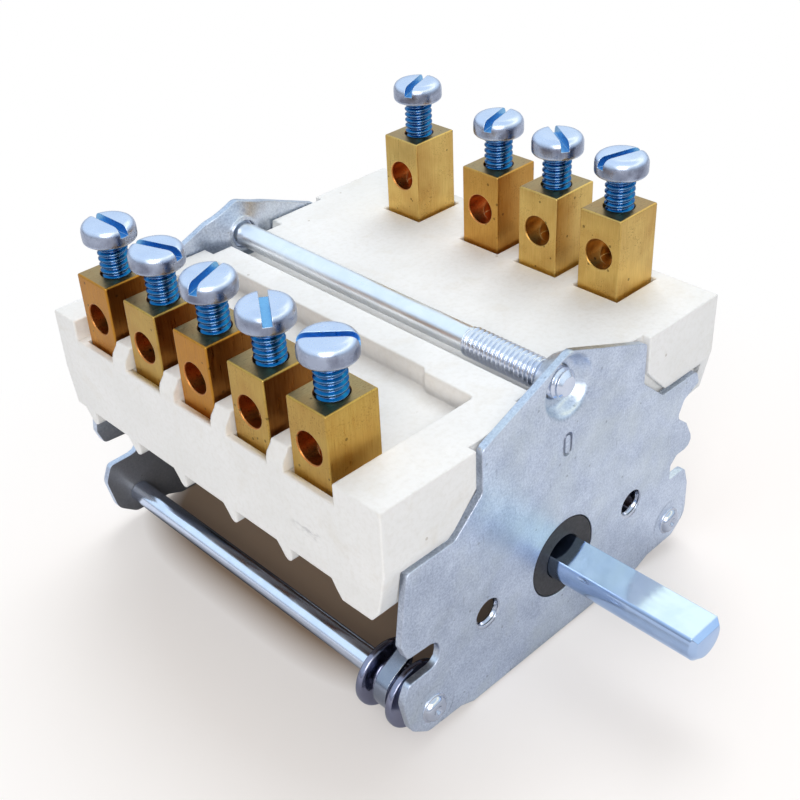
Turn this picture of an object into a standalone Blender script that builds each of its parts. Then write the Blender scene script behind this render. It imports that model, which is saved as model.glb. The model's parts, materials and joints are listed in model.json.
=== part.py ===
# Four-position rotary switch with a ceramic body, as used in electric cookers.
#
# A ceramic body is clamped between two pressed steel plates by one long screw on top and two
# riveted rods below. A D-shaped shaft turns five cams that close five contacts, and two sprung
# strips snap over a four-lobed wheel to give the positions. Nine brass terminals stand out of
# the ceramic, each with its clamping screw backed out.
#
# Frame: metres, +Z up, the shaft points to -Y, X is across. The origin is below the middle of
# the whole part, at the level it stands on. Sketch points are given from the shaft's axis and
# the front plate's front face.

import math

import bmesh
import bpy
from mathutils import Matrix, Vector

MM = 0.001

# Driving dimensions
SHAFT_RADIUS = 3.0 * MM
SHAFT_FLAT = 1.6 * MM                 # height of the flat above the axis: 4.6 mm across
SHAFT_REACH = 21.4 * MM               # from the front plate to the shaft's tip
BODY_WIDTH = 60.0 * MM
BODY_TOP = 24.9 * MM                  # ceramic top above the shaft's axis
PLATE = 1.0 * MM
PITCH = 10.17 * MM                    # from one chamber to the next
DETENT_SPACE = 7.0 * MM               # from the front plate's face to the first cam
REAR_MARGIN = 6.3 * MM                # behind the last left terminal, rear plate included
BLOCK_X = 7.6 * MM
BLOCK_Y = 6.4 * MM
BLOCK_Z = 16.0 * MM
LEFT_INSET = 1.2 * MM                 # from the body's side to the left row
RIGHT_INSET = 2.2 * MM
LEFT_ROW_TOP = 32.0 * MM
RIGHT_ROW_TOP = 35.8 * MM
REAR_LIFT = 0.6 * MM                  # the shared rear terminal stands a little higher
FLOOR = 22.0 * MM                     # floor of the pocket around the left row
ROOF = 18.5 * MM                      # ceiling of the contact chambers
ROD_INSET = 6.5 * MM                  # from the body's side to the rods' axes
ROD_Z = -8.6 * MM
ROD_RADIUS = 1.6 * MM
TIE_Z = 25.4 * MM                     # axis of the long screw
TIE_THREAD = 2.0 * MM
TIE_SHANK = 1.7 * MM
DISH = 1.6 * MM                       # the rear plate's cone round the long screw's head
DISH_MOUTH = 5.7 * MM
SPOOL_RADIUS = 4.6 * MM
SPOOL_FRONT = 2.9 * MM
SPOOL_LENGTH = 6.1 * MM
MOUNT_SPACING = 28.0 * MM             # the two M4 mounting holes
MOUNT_HOLE = 1.7 * MM
BUSH_RADIUS = 5.45 * MM
SCREW_SHANK = 1.9 * MM
SCREW_HEAD = 3.4 * MM
SCREW_HEAD_Z = 2.6 * MM
SCREW_BACKED_OUT = 4.4 * MM           # gap between block and head
WIRE_HOLE = 2.05 * MM
WIRE_HOLE_DROP = 5.5 * MM
CAM_LOW = 6.3 * MM
CAM_HIGH = 8.2 * MM
CAM_WIDTH = 6.2 * MM
GABLE_X = 15.6 * MM                   # inner faces of the body's four corner blocks
CORNER_X = 20.1 * MM                  # lower end of the corner blocks' slanted face
CORNER_Z = 15.2 * MM                  # lower face of the corner blocks
CORNER_STEP = 19.8 * MM
PLATE_INSET = 3.2 * MM                # the plates' shoulders stand in from the body's side
SHELF_X = -8.2 * MM                   # inner edge of the pocket
TAP_DROP = 7.7 * MM                   # from a block's top to the lowest thread
BUTTON_X = 6.0 * MM                   # contact buttons
BUTTON_RADIUS = 1.6 * MM
LEAF = 0.5 * MM
LEAF_HALF = 2.6 * MM
STRIP = 0.6 * MM
GAP = 0.3 * MM                        # between pieces that touch
REAR_HEAD = 0.9 * MM                  # what stands behind the rear plate

# Derived positions
HALF = BODY_WIDTH / 2
LEFT_ROW_X = -HALF + LEFT_INSET
RIGHT_ROW_X = HALF - RIGHT_INSET - BLOCK_X
ROD_X = HALF - ROD_INSET
PLATE_X = HALF - PLATE_INSET
FIRST = DETENT_SPACE + (PITCH - BLOCK_Y) / 2
LAST_RIGHT = FIRST + 3.5 * PITCH      # the shared rear terminal sits over the last wall
BODY_DEPTH = FIRST + 4 * PITCH + BLOCK_Y + REAR_MARGIN
LENGTH = SHAFT_REACH + BODY_DEPTH + REAR_HEAD
Y0 = SHAFT_REACH - LENGTH / 2
Z0 = SPOOL_RADIUS - ROD_Z
REAR_FACE = BODY_DEPTH - PLATE
CHAMBER_SIDE = 0.45 * MM
CHAMBER = BLOCK_Y + 1.2 * MM
SKIRT = 10.75 * MM
TOOTH = 8.7 * MM
FRONT_TOOTH = 8.4 * MM
WALL = 2.4 * MM


def at(x, y, z):
    return Vector((x, Y0 + y, Z0 + z))


def material(name, colour, roughness, metallic):
    mat = bpy.data.materials.new(name)
    mat.use_nodes = True
    node = mat.node_tree.nodes["Principled BSDF"]
    node.inputs["Base Color"].default_value = (*colour, 1)
    node.inputs["Roughness"].default_value = roughness
    node.inputs["Metallic"].default_value = metallic
    mat.diffuse_color = (*colour, 1)
    return mat


def from_bmesh(name, bm):
    bmesh.ops.remove_doubles(bm, verts=bm.verts, dist=1e-7)
    bmesh.ops.recalc_face_normals(bm, faces=bm.faces)
    mesh = bpy.data.meshes.new(name)
    bm.to_mesh(mesh)
    bm.free()
    obj = bpy.data.objects.new(name, mesh)
    bpy.context.scene.collection.objects.link(obj)
    return obj


def prism(name, outline, axis, start, end):
    """Extrude a sketched outline along an axis. Outline pairs are (x, z), (y, z) or (x, y)."""
    bm = bmesh.new()
    place = {"X": lambda a, b: at(start, a, b), "Y": lambda a, b: at(a, start, b),
             "Z": lambda a, b: at(a, b, start)}[axis]
    face = bm.faces.new([bm.verts.new(place(a, b)) for a, b in outline])
    out = bmesh.ops.extrude_face_region(bm, geom=[face])
    step = {"X": Vector((1, 0, 0)), "Y": Vector((0, 1, 0)), "Z": Vector((0, 0, 1))}[axis]
    moved = [g for g in out["geom"] if isinstance(g, bmesh.types.BMVert)]
    bmesh.ops.translate(bm, verts=moved, vec=step * (end - start))
    return from_bmesh(name, bm)


def box(name, x, y, z):
    return prism(name, [(x[0], y[0]), (x[1], y[0]), (x[1], y[1]), (x[0], y[1])], "Z", *z)


def turned(name, profile, centre, axis, segments=24):
    """Spin a profile of (radius, height) pairs about an axis through a centre."""
    bm = bmesh.new()
    base = at(*centre)
    along = {"X": Vector((1, 0, 0)), "Y": Vector((0, 1, 0)), "Z": Vector((0, 0, 1))}[axis]
    side = Vector((0, 0, 1)) if axis != "Z" else Vector((1, 0, 0))
    points = [bm.verts.new(base + side * r + along * h) for r, h in profile]
    edges = [bm.edges.new(pair) for pair in zip(points, points[1:])]
    if profile[0][0] > 0:
        edges.append(bm.edges.new((points[-1], points[0])))
    bmesh.ops.spin(bm, geom=points + edges, cent=base, axis=along, dvec=(0, 0, 0),
                   angle=2 * math.pi, steps=segments, use_merge=True)
    return from_bmesh(name, bm)


def rod(name, radius, centre, axis, length, segments=24):
    return turned(name, [(0, 0), (radius, 0), (radius, length), (0, length)], centre, axis, segments)


def combine(obj, others, operation):
    """Cut the others out of an object, or weld them to it, and keep the result."""
    for other in others:
        tool = obj.modifiers.new("shape", "BOOLEAN")
        tool.operation = operation
        tool.solver = "EXACT"
        tool.object = other
        bpy.context.view_layer.update()
        result = bpy.data.meshes.new_from_object(obj.evaluated_get(bpy.context.evaluated_depsgraph_get()))
        obj.modifiers.clear()
        obj.data = result
        bpy.data.objects.remove(other)
    bm = bmesh.new()
    bm.from_mesh(obj.data)
    bmesh.ops.dissolve_limit(bm, angle_limit=0.0005, verts=bm.verts, edges=bm.edges)
    bm.to_mesh(obj.data)
    bm.free()
    return obj


def cut(obj, *others):
    return combine(obj, others, "DIFFERENCE")


def weld(obj, *others):
    return combine(obj, others, "UNION")


def finish(obj, name, mat, origin=(0, 0, 0), smooth=True):
    """Name the piece, give it its material and put its origin where it turns or slides."""
    obj.name = obj.data.name = name
    obj.data.materials.clear()
    obj.data.materials.append(mat)
    if smooth:
        obj.data.shade_smooth()
        obj.data.set_sharp_from_angle(angle=math.radians(32))
    point = at(*origin)
    obj.data.transform(Matrix.Translation(-point))
    obj.location = point
    return obj


def rounded(corners, steps=4):
    """Round an outline's corners. Each corner is (a, b, radius)."""
    out = []
    count = len(corners)
    for i, (a, b, r) in enumerate(corners):
        here = Vector((a, b))
        if r <= 0:
            out.append((a, b))
            continue
        back = (Vector(corners[i - 1][:2]) - here).normalized()
        on = (Vector(corners[(i + 1) % count][:2]) - here).normalized()
        half = back.angle(on) / 2
        reach = r / math.tan(half)
        middle = here + (back + on).normalized() * (r / math.sin(half))
        first, last = here + back * reach - middle, here + on * reach - middle
        turn = math.atan2(first.x * last.y - first.y * last.x, first.dot(last))
        for k in range(steps + 1):
            c, s = math.cos(turn * k / steps), math.sin(turn * k / steps)
            out.append((middle.x + first.x * c - first.y * s, middle.y + first.x * s + first.y * c))
    return out


def strip(path, thickness):
    """Turn a centre line into the outline of a strip of even thickness."""
    left, right = [], []
    for i, (a, b) in enumerate(path):
        before, after = path[max(i - 1, 0)], path[min(i + 1, len(path) - 1)]
        run = Vector((after[0] - before[0], after[1] - before[1])).normalized()
        side = Vector((-run.y, run.x)) * thickness / 2
        left.append((a + side.x, b + side.y))
        right.append((a - side.x, b - side.y))
    return left + right[::-1]


def d_section(radius, flat, segments=14):
    """Round section with a flat on top."""
    open_angle = math.asin(flat / radius)
    sweep = math.pi + 2 * open_angle
    return [(radius * math.cos(open_angle - sweep * k / segments),
             radius * math.sin(open_angle - sweep * k / segments)) for k in range(segments + 1)]


# The scene
for old in list(bpy.data.objects):
    bpy.data.objects.remove(old)

CERAMIC = material("steatite", (0.80, 0.76, 0.68), 0.55, 0.0)
STEEL = material("zinc_plated_steel", (0.62, 0.65, 0.70), 0.35, 1.0)
BRIGHT = material("bright_zinc", (0.78, 0.80, 0.86), 0.22, 1.0)
BRASS = material("brass", (0.72, 0.52, 0.20), 0.38, 1.0)
BLACK = material("black_plastic", (0.03, 0.025, 0.02), 0.45, 0.0)
BROWN = material("brown_resin", (0.12, 0.06, 0.03), 0.5, 0.0)
BRONZE = material("contact_bronze", (0.66, 0.38, 0.22), 0.35, 1.0)
SPRING = material("spring_steel", (0.30, 0.31, 0.33), 0.35, 1.0)

left_rows = [FIRST + PITCH * k for k in range(5)]
right_rows = left_rows[:3] + [LAST_RIGHT]
chambers = [y - CHAMBER_SIDE for y in left_rows]


# Ceramic body: one pressed block, cut from its full outline
def housing():
    body = box("housing", (-HALF, HALF), (0.1 * MM, BODY_DEPTH - 0.1 * MM), (FRONT_TOOTH, BODY_TOP))
    # The plates sit in front and behind, so only the four corner blocks come flush with them.
    over, under = BODY_TOP + 2 * MM, FRONT_TOOTH - 2 * MM
    out, low = HALF + 2 * MM, SKIRT - 0.45 * MM
    beside_plate = PLATE_X + 0.6 * MM     # the walls stand forward beside the plates
    upper = [(CORNER_X, CORNER_Z), (GABLE_X, CORNER_STEP), (GABLE_X, over)]
    relief = [(beside_plate, under), (beside_plate, CORNER_Z)] + upper
    relief += [(-x, z) for x, z in reversed(relief)]
    wide_relief = [(x + (0.6 * MM if x > HALF - WALL - 0.5 * MM else 0), z) for x, z in relief]
    cutters = [prism("relief", wide_relief, "Y", -1 * MM, PLATE + GAP),
               prism("relief", relief, "Y", REAR_FACE - GAP, BODY_DEPTH + 1 * MM)]
    # Below the corner blocks the walls' end faces lean back to the lower edge.
    lean = [(-1 * MM, under), (-1 * MM, 16.5 * MM), (0.1 * MM, 16.5 * MM),
            (PLATE + GAP, low), (PLATE + GAP, under)]
    cutters.append(prism("lean", lean, "X", -out, out))
    cutters.append(prism("lean", [(BODY_DEPTH - y, z) for y, z in lean], "X", -out, out))
    # Lower edge: each wall between two chambers ends in a hooked tooth.
    front_tooth = FIRST - 1.6 * MM
    edge = [(-1 * MM, under), (-1 * MM, low), (PLATE + GAP, low), (2.6 * MM, FRONT_TOOTH + 0.1 * MM),
            (front_tooth + 0.1 * MM, FRONT_TOOTH + 0.02 * MM),
            (front_tooth + 1.0 * MM, FRONT_TOOTH + 1.2 * MM), (front_tooth + 1.7 * MM, SKIRT)]
    for y in [c + CHAMBER for c in chambers]:
        edge += [(y, SKIRT), (y, TOOTH + 0.5 * MM), (y + 0.25 * MM, TOOTH + 0.1 * MM),
                 (y + 0.7 * MM, TOOTH + 0.02 * MM), (y + 1.2 * MM, TOOTH + 0.35 * MM),
                 (y + 1.8 * MM, TOOTH + 1.2 * MM), (y + 2.5 * MM, SKIRT)]
    edge += [(BODY_DEPTH + 1 * MM, SKIRT), (BODY_DEPTH + 1 * MM, under)]
    cutters.append(prism("edge", edge, "X", -out, out))
    # Contact chambers and the detent's compartment, open below
    room = HALF - WALL
    for y in chambers:
        cutters.append(box("chamber", (-room, room), (y, y + CHAMBER), (under, ROOF)))
    cutters.append(box("detent_room", (-room, room), (2.7 * MM, FIRST - 1.7 * MM), (under, 16 * MM)))
    # Pocket around the left row, with a rounded post between two terminals
    front, rear = FIRST - 1.45 * MM, left_rows[-1] + BLOCK_Y + 1.45 * MM
    jog = SHELF_X + 0.7 * MM
    post = -HALF + 4.6 * MM
    pocket = [(SHELF_X, front, 0.6 * MM), (SHELF_X, front + 7.9 * MM, 0.3 * MM),
              (jog, front + 8.7 * MM, 0.3 * MM), (jog, rear, 0.6 * MM), (-out, rear, 0)]
    beside = 0.45 * MM
    for y in left_rows[:0:-1]:
        pocket += [(-out, y - beside, 0), (post, y - beside, 0.8 * MM),
                   (post, y - PITCH + BLOCK_Y + beside, 0.8 * MM), (-out, y - PITCH + BLOCK_Y + beside, 0)]
    pocket.append((-out, front, 0))
    cutters.append(prism("pocket", rounded(pocket, 3), "Z", FLOOR, over))
    shoulder = [(-out, 22.6 * MM), (-HALF, 22.6 * MM), (-HALF + 0.3 * MM, 23.5 * MM),
                (-HALF + 0.9 * MM, 24.3 * MM), (-HALF + 1.9 * MM, over), (-out, over)]
    cutters.append(prism("shoulder", shoulder, "Y", front + 0.01 * MM, rear - 0.01 * MM))
    # Wells for the terminals
    for y in left_rows:
        cutters.append(box("well", (LEFT_ROW_X - GAP, LEFT_ROW_X + BLOCK_X + GAP),
                           (y - GAP, y + BLOCK_Y + GAP), (LEFT_ROW_TOP - BLOCK_Z - GAP, over)))
    for y in right_rows:
        cutters.append(box("well", (RIGHT_ROW_X - 0.4 * MM, RIGHT_ROW_X + BLOCK_X + 0.4 * MM),
                           (y - 0.4 * MM, y + BLOCK_Y + 0.4 * MM), (ROOF - 0.5 * MM, over)))
    # The shared terminal's contact bridges the wall between the last two chambers.
    cutters.append(box("bridge_slot", (RIGHT_ROW_X - 2.8 * MM, room),
                       (LAST_RIGHT - 2 * MM, LAST_RIGHT + BLOCK_Y + 2 * MM),
                       (ROOF - 1.6 * MM, ROOF + 0.2 * MM)))
    # Groove for the long screw, opened out round the plates' pressed hollows
    cutters.append(box("groove", (-3.0 * MM, 3.2 * MM), (-1 * MM, BODY_DEPTH + 1 * MM), (22.4 * MM, over)))
    cutters.append(rod("hollow", 5.6 * MM, (0, -1 * MM, TIE_Z), "Y", 4.4 * MM, 20))
    cutters.append(rod("hollow", 6.3 * MM, (0, BODY_DEPTH - 3.3 * MM, TIE_Z), "Y", 4.3 * MM, 20))
    return finish(cut(body, *cutters), "housing", CERAMIC, smooth=False)


# Pressed plates
def plate_side(tongue):
    """One side of a plate, from the gable down to the bottom edge, as (x, z, corner radius)."""
    slack, side = 0.8 * MM, PLATE_X / MM
    gable, corner, shoulder = (GABLE_X - slack) / MM, (CORNER_X - slack) / MM, (CORNER_Z - slack * 0.7) / MM
    upper = [(gable, BODY_TOP / MM - 0.45, 0.8), (gable, CORNER_STEP / MM - 1.2, 0.6),
             (corner, shoulder, 0.6), (side, shoulder, 0.7)]
    if tongue:
        middle = [(side + 0.7, 12.7, 0.4), (side - 2.4, 11.4, 0.8), (side - 3.6, 9.0, 1.0),
                  (side - 1.3, 7.1, 0.8), (side + 1.1, 2.6, 1.3), (side - 2.9, 2.6, 0.6),
                  (side - 4.15, 1.5, 0.6), (side - 4.15, -0.95, 0.3), (side - 0.5, -0.9, 0.9),
                  (side + 0.5, -4.0, 2.0)]
    else:
        middle = [(side + 1.4, 4.6, 0.6), (side + 0.6, 2.3, 0.8), (side - 4.55, 1.95, 1.6),
                  (side - 4.55, -1.85, 1.6), (side + 0.5, -1.95, 0.8), (side + 1.6, -4.4, 2.0)]
    ear = [(side + 0.6, -9.6, 2.4), (side - 2.2, -11.8, 1.6), (side - 7.9, -12.0, 1.0),
           (side - 10.2, -12.9, 0.6)]
    return [(x * MM, z * MM, r * MM) for x, z, r in upper + middle + ear]


def plate(name, front):
    right = plate_side(front)
    left = [(-x, z, r) for x, z, r in plate_side(False)]
    outline = rounded([(0, TIE_Z + 4.9 * MM, 2 * MM)] + right + left[::-1], 3)
    y = 0 if front else BODY_DEPTH
    inward = 1 if front else -1
    body = box(name, (-BODY_WIDTH, BODY_WIDTH), sorted((y, y + inward * PLATE)), (-BODY_WIDTH, BODY_WIDTH))
    # A hollow pressed inwards round the long screw takes its end, or, as a wide cone, its head.
    if front:
        mouth, bottom, depth, skin, hole = 4.1 * MM, 2.9 * MM, 1.9 * MM, 0.35 * MM, TIE_THREAD + 0.25 * MM
    else:
        mouth, bottom, depth, skin, hole = DISH_MOUTH, 2.3 * MM, DISH, 0.3 * MM, TIE_SHANK + GAP
    boss = [(0, PLATE * 0.5), (mouth + skin, PLATE * 0.5), (mouth + skin, PLATE),
            (bottom + 1.5 * skin, depth + PLATE * 0.8), (bottom + skin, depth + PLATE), (0, depth + PLATE)]
    bowl = [(0, -1 * MM), (mouth, -1 * MM), (mouth, 0), (mouth - 0.5 * MM, 0.35 * MM),
            (bottom + 0.3 * MM, depth - 0.2 * MM), (bottom - 0.2 * MM, depth), (hole, depth),
            (hole, depth + 2 * PLATE), (0, depth + 2 * PLATE)]
    flip = lambda profile: [(r, h * inward) for r, h in profile]
    weld(body, turned("boss", flip(boss), (0, y, TIE_Z), "Y"))
    start = y - 2 * MM if front else y - 4 * MM
    cutters = [turned("bowl", flip(bowl), (0, y, TIE_Z), "Y"),
               rod("hole", BUSH_RADIUS + GAP, (0, start, 0), "Y", 6 * MM)]
    for side in (-1, 1):
        cutters.append(rod("hole", ROD_RADIUS - 0.1 * MM, (side * ROD_X, start, ROD_Z), "Y", 6 * MM, 12))
        if front:
            cutters.append(rod("hole", MOUNT_HOLE, (side * MOUNT_SPACING / 2, start, 0), "Y", 6 * MM, 16))
    # The blank's outline is punched last, also through the cone's edge.
    punch = prism("punch", outline, "Y", *sorted((y - inward * 1 * MM, y + inward * 5 * MM)))
    return finish(combine(cut(body, *cutters), [punch], "INTERSECT"), name, STEEL)


# Turned and riveted pieces
def tie_screw():
    back = BODY_DEPTH + REAR_HEAD - 0.05 * MM
    head = 3.5 * MM
    rim = BODY_DEPTH - DISH * (1 - (head - TIE_SHANK) / (DISH_MOUTH - TIE_SHANK)) + 1.2 * GAP
    profile = [(0, 0.25 * MM), (TIE_THREAD - 0.5 * MM, 0.25 * MM), (TIE_THREAD, 0.8 * MM),
               (TIE_THREAD, 15.3 * MM), (TIE_SHANK, 15.8 * MM), (TIE_SHANK, BODY_DEPTH - DISH + 1.2 * GAP),
               (head, rim), (head, back - 0.5 * MM), (head - 0.6 * MM, back), (0, back)]
    screw = turned("top_tie_screw", profile, (0, 0, TIE_Z), "Y")
    slot = box("slot", (-0.6 * MM, 0.6 * MM), (back - 1.1 * MM, back + 1 * MM),
               (TIE_Z - 5 * MM, TIE_Z + 5 * MM))
    return finish(cut(screw, slot), "top_tie_screw", BRIGHT, (0, 0, TIE_Z))


def tie_rod(name, side):
    tenon, head = ROD_RADIUS - 0.4 * MM, 2.0 * MM
    inside, outside = PLATE + GAP, REAR_HEAD - 0.05 * MM
    profile = [(0, -outside), (head - 0.7 * MM, -outside), (head, -outside + 0.35 * MM), (head, -GAP),
               (tenon, -GAP), (tenon, inside), (ROD_RADIUS, inside), (ROD_RADIUS, BODY_DEPTH - inside),
               (tenon, BODY_DEPTH - inside), (tenon, BODY_DEPTH + GAP), (head, BODY_DEPTH + GAP),
               (head, BODY_DEPTH + outside - 0.35 * MM), (head - 0.7 * MM, BODY_DEPTH + outside),
               (0, BODY_DEPTH + outside)]
    return finish(turned(name, profile, (side * ROD_X, 0, ROD_Z), "Y", 16), name, BRIGHT,
                  (side * ROD_X, 0, ROD_Z))


def spool(name, side):
    """Flanged spool on a rod: the detent strip is hooked round its waist."""
    bore, waist, rim = ROD_RADIUS + GAP, 2.6 * MM, 0.95 * MM
    end = SPOOL_LENGTH
    profile = [(bore, 0), (SPOOL_RADIUS, 0), (SPOOL_RADIUS, rim), (waist, rim + 0.3 * MM),
               (waist, end - rim - 0.3 * MM), (SPOOL_RADIUS, end - rim), (SPOOL_RADIUS, end), (bore, end)]
    return finish(turned(name, profile, (side * ROD_X, SPOOL_FRONT, ROD_Z), "Y"), name, SPRING,
                  (side * ROD_X, SPOOL_FRONT, ROD_Z))


def bushing(name, front):
    bore, flange = SHAFT_RADIUS + GAP, 7.0 * MM
    length = 3.4 * MM
    profile = [(bore, 0.05 * MM), (BUSH_RADIUS, 0.05 * MM), (BUSH_RADIUS, PLATE + GAP),
               (flange, PLATE + GAP), (flange, 2.4 * MM), (BUSH_RADIUS - 0.5 * MM, 2.4 * MM),
               (BUSH_RADIUS - 0.5 * MM, length), (bore, length)]
    if not front:
        profile = [(r, BODY_DEPTH - h) for r, h in profile]
    return finish(turned(name, profile, (0, 0, 0), "Y"), name, BLACK)


# The turning group
def shaft():
    tip = rod("shaft", SHAFT_RADIUS, (0, -SHAFT_REACH, 0), "Y", LENGTH, 32)
    wide = (-2 * SHAFT_RADIUS, 2 * SHAFT_RADIUS)
    above = (SHAFT_FLAT, 2 * SHAFT_RADIUS)
    blunt = 0.7 * MM
    cutters = [box("flat", wide, (-SHAFT_REACH - 1 * MM, 0), above)]
    # Behind the knob's seat the flat is ground a little deeper
    deeper = (SHAFT_FLAT - 0.05 * MM, 2 * SHAFT_RADIUS)
    cutters.append(box("relief", wide, (-1 * MM, BODY_DEPTH - 3.9 * MM), deeper))
    # Blunt chamfer at the flat's end and round the tip
    slant = [(-SHAFT_REACH - blunt, SHAFT_FLAT - 2 * blunt), (-SHAFT_REACH + 2 * blunt, SHAFT_FLAT + blunt),
             (-SHAFT_REACH - blunt, SHAFT_FLAT + blunt)]
    cutters.append(prism("slant", slant, "X", *wide))
    outside = SHAFT_RADIUS + 2 * blunt
    ring = [(SHAFT_RADIUS - 2 * blunt, -SHAFT_REACH - blunt), (outside, -SHAFT_REACH - blunt),
            (outside, -SHAFT_REACH + 2 * blunt)]
    cutters.append(turned("chamfer", ring, (0, 0, 0), "Y", 32))
    return finish(cut(tip, *cutters), "shaft", BRIGHT)


def keyed_hole(y, length):
    return prism("key", d_section(SHAFT_RADIUS + GAP, SHAFT_FLAT + GAP), "Y", y - 1 * MM, y + length + 1 * MM)


def cam(index, raised):
    """Cam disc with a long hub. It is high in the raised positions and low in the others."""
    middle = FIRST + PITCH * index + BLOCK_Y / 2
    hub = PITCH - GAP
    disc, steps = [], 36
    for k in range(steps):
        angle = 2 * math.pi * k / steps
        height = 0.0
        for position in raised:
            away = abs((math.degrees(angle) - 90 * (position + 1) + 180) % 360 - 180)
            height = max(height, min(1.0, max(0.0, (46 - away) / 14)))
        radius = CAM_LOW + (CAM_HIGH - CAM_LOW) * height
        disc.append((radius * math.cos(angle), radius * math.sin(angle)))
    body = prism("cam", disc, "Y", middle - CAM_WIDTH / 2, middle + CAM_WIDTH / 2)
    weld(body, rod("hub", 4.9 * MM, (0, middle - hub / 2, 0), "Y", hub, 16))
    return finish(cut(body, keyed_hole(middle - hub / 2, hub)), "cam_%d" % (index + 1), BROWN)


STAR_Y, STAR_WIDTH = 4.8 * MM, 2.1 * MM
STAR_MEAN, STAR_LOBE = 7.5 * MM, 0.9 * MM


def star_radius(angle):
    return STAR_MEAN + STAR_LOBE * math.cos(4 * angle)


def star():
    """Four-lobed wheel: its hollows lie at 45 degrees to the shaft's flat."""
    steps = 48
    outline = [(star_radius(2 * math.pi * k / steps) * math.cos(2 * math.pi * k / steps),
                star_radius(2 * math.pi * k / steps) * math.sin(2 * math.pi * k / steps))
               for k in range(steps)]
    body = prism("star", outline, "Y", STAR_Y, STAR_Y + STAR_WIDTH)
    return finish(cut(body, keyed_hole(STAR_Y, STAR_WIDTH)), "detent_wheel", STEEL)


def detent_strip(name, side):
    """Spring strip: hooked round the spool, over a hollow of the wheel, with its end turned up."""
    thick, eye = 0.6 * MM, 2.6 * MM + 0.35 * MM + 0.3 * MM
    path = []
    for k in range(13):
        angle = math.radians(-150 + (118 + 150 - 360) * k / 12)
        path.append((-ROD_X + eye * math.cos(angle), ROD_Z + eye * math.sin(angle)))
    for degrees in range(150, 119, -6):
        angle = math.radians(degrees)
        lift = GAP + thick / 2 + (0.0 if 123 <= degrees <= 147 else 0.45 * MM)
        radius = STAR_MEAN - STAR_LOBE + lift
        path.append((radius * math.cos(angle), radius * math.sin(angle)))
    path += [(-3.3 * MM, 8.6 * MM), (-3.0 * MM, 10.2 * MM)]
    outline = [(-side * x, z) for x, z in strip(path, thick)]
    return finish(prism(name, outline, "Y", STAR_Y, STAR_Y + STAR_WIDTH), name, SPRING)


# Terminals and contacts
def terminal(name, x, y, top):
    body = box(name, (x, x + BLOCK_X), (y, y + BLOCK_Y), (top - BLOCK_Z, top))
    middle = (x + BLOCK_X / 2, y + BLOCK_Y / 2)
    bm = bmesh.new()
    bm.from_mesh(body.data)
    bmesh.ops.bevel(bm, geom=bm.edges, affect="EDGES", offset=0.2 * MM, segments=1, profile=0.5, material=-1)
    bm.to_mesh(body.data)
    bm.free()
    cut(body,
        rod("wire", WIRE_HOLE, (x - 1 * MM, middle[1], top - WIRE_HOLE_DROP), "X", BLOCK_X + 2 * MM, 18),
        rod("tapping", SCREW_SHANK + 0.25 * MM, (*middle, top - TAP_DROP), "Z", BLOCK_Z, 18))
    return finish(body, name, BRASS)


def terminal_screw(name, x, y, top, turn, extra=0):
    """Slotted cheese-head screw, backed out of its block."""
    middle = (x + BLOCK_X / 2, y + BLOCK_Y / 2)
    under = SCREW_BACKED_OUT + extra
    tip = 3.1 * MM
    cap = under + SCREW_HEAD_Z
    profile = [(0, -tip), (SCREW_SHANK - 0.5 * MM, -tip), (SCREW_SHANK, -tip + 0.5 * MM),
               (SCREW_SHANK, under), (SCREW_HEAD - 0.2 * MM, under), (SCREW_HEAD, cap - 0.8 * MM),
               (SCREW_HEAD - 0.6 * MM, cap), (0, cap)]
    screw = turned(name, profile, (*middle, top), "Z", 20)
    slot = box("slot", (-5 * MM, 5 * MM), (-0.55 * MM, 0.55 * MM), (cap - 1.3 * MM, cap + 1 * MM))
    slot.data.transform(Matrix.Translation(-at(0, 0, 0)))
    slot.data.transform(Matrix.Rotation(math.radians(turn), 4, "Z"))
    slot.data.transform(Matrix.Translation(at(*middle, top)))
    return finish(cut(screw, slot), name, BRIGHT, (*middle, top))


LEAF_TOP = LEFT_ROW_TOP - BLOCK_Z - GAP
FIXED_UNDER = ROOF - GAP - STRIP


def contact_spring(index):
    """Bronze strip from a left terminal's foot to the contact button over the far side of the cam."""
    middle = FIRST + PITCH * index + BLOCK_Y / 2
    half = LEAF_HALF
    slim = half - 0.6 * MM
    start, end = LEFT_ROW_X + 1.6 * MM, BUTTON_X + BUTTON_RADIUS + 1.0 * MM
    wide, waist = start + 9.2 * MM, start + 12.2 * MM
    outline = rounded([(start, middle - half, 0.4 * MM), (wide, middle - half, 0.6 * MM),
                       (waist, middle - slim, 0.6 * MM), (end, middle - slim, 1.2 * MM),
                       (end, middle + slim, 1.2 * MM), (waist, middle + slim, 0.6 * MM),
                       (wide, middle + half, 0.6 * MM), (start, middle + half, 0.4 * MM)], 2)
    body = prism("leaf", outline, "Z", LEAF_TOP - LEAF, LEAF_TOP)
    rim = LEAF_TOP + 0.6 * MM
    button = turned("button", [(0, LEAF_TOP - LEAF / 2), (BUTTON_RADIUS, LEAF_TOP - LEAF / 2),
                               (BUTTON_RADIUS, rim), (BUTTON_RADIUS - 0.6 * MM, rim + 0.3 * MM),
                               (0, rim + 0.35 * MM)], (BUTTON_X, middle, 0), "Z", 14)
    return finish(weld(body, button), "contact_spring_%d" % (index + 1), BRONZE)


def fixed_button(middle):
    rim = BUTTON_RADIUS + 0.1 * MM
    return turned("button", [(0, FIXED_UNDER - 0.4 * MM), (rim - 0.5 * MM, FIXED_UNDER - 0.35 * MM),
                             (rim, FIXED_UNDER), (rim, FIXED_UNDER + STRIP / 2),
                             (0, FIXED_UNDER + STRIP / 2)], (BUTTON_X, middle, 0), "Z", 14)


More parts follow.
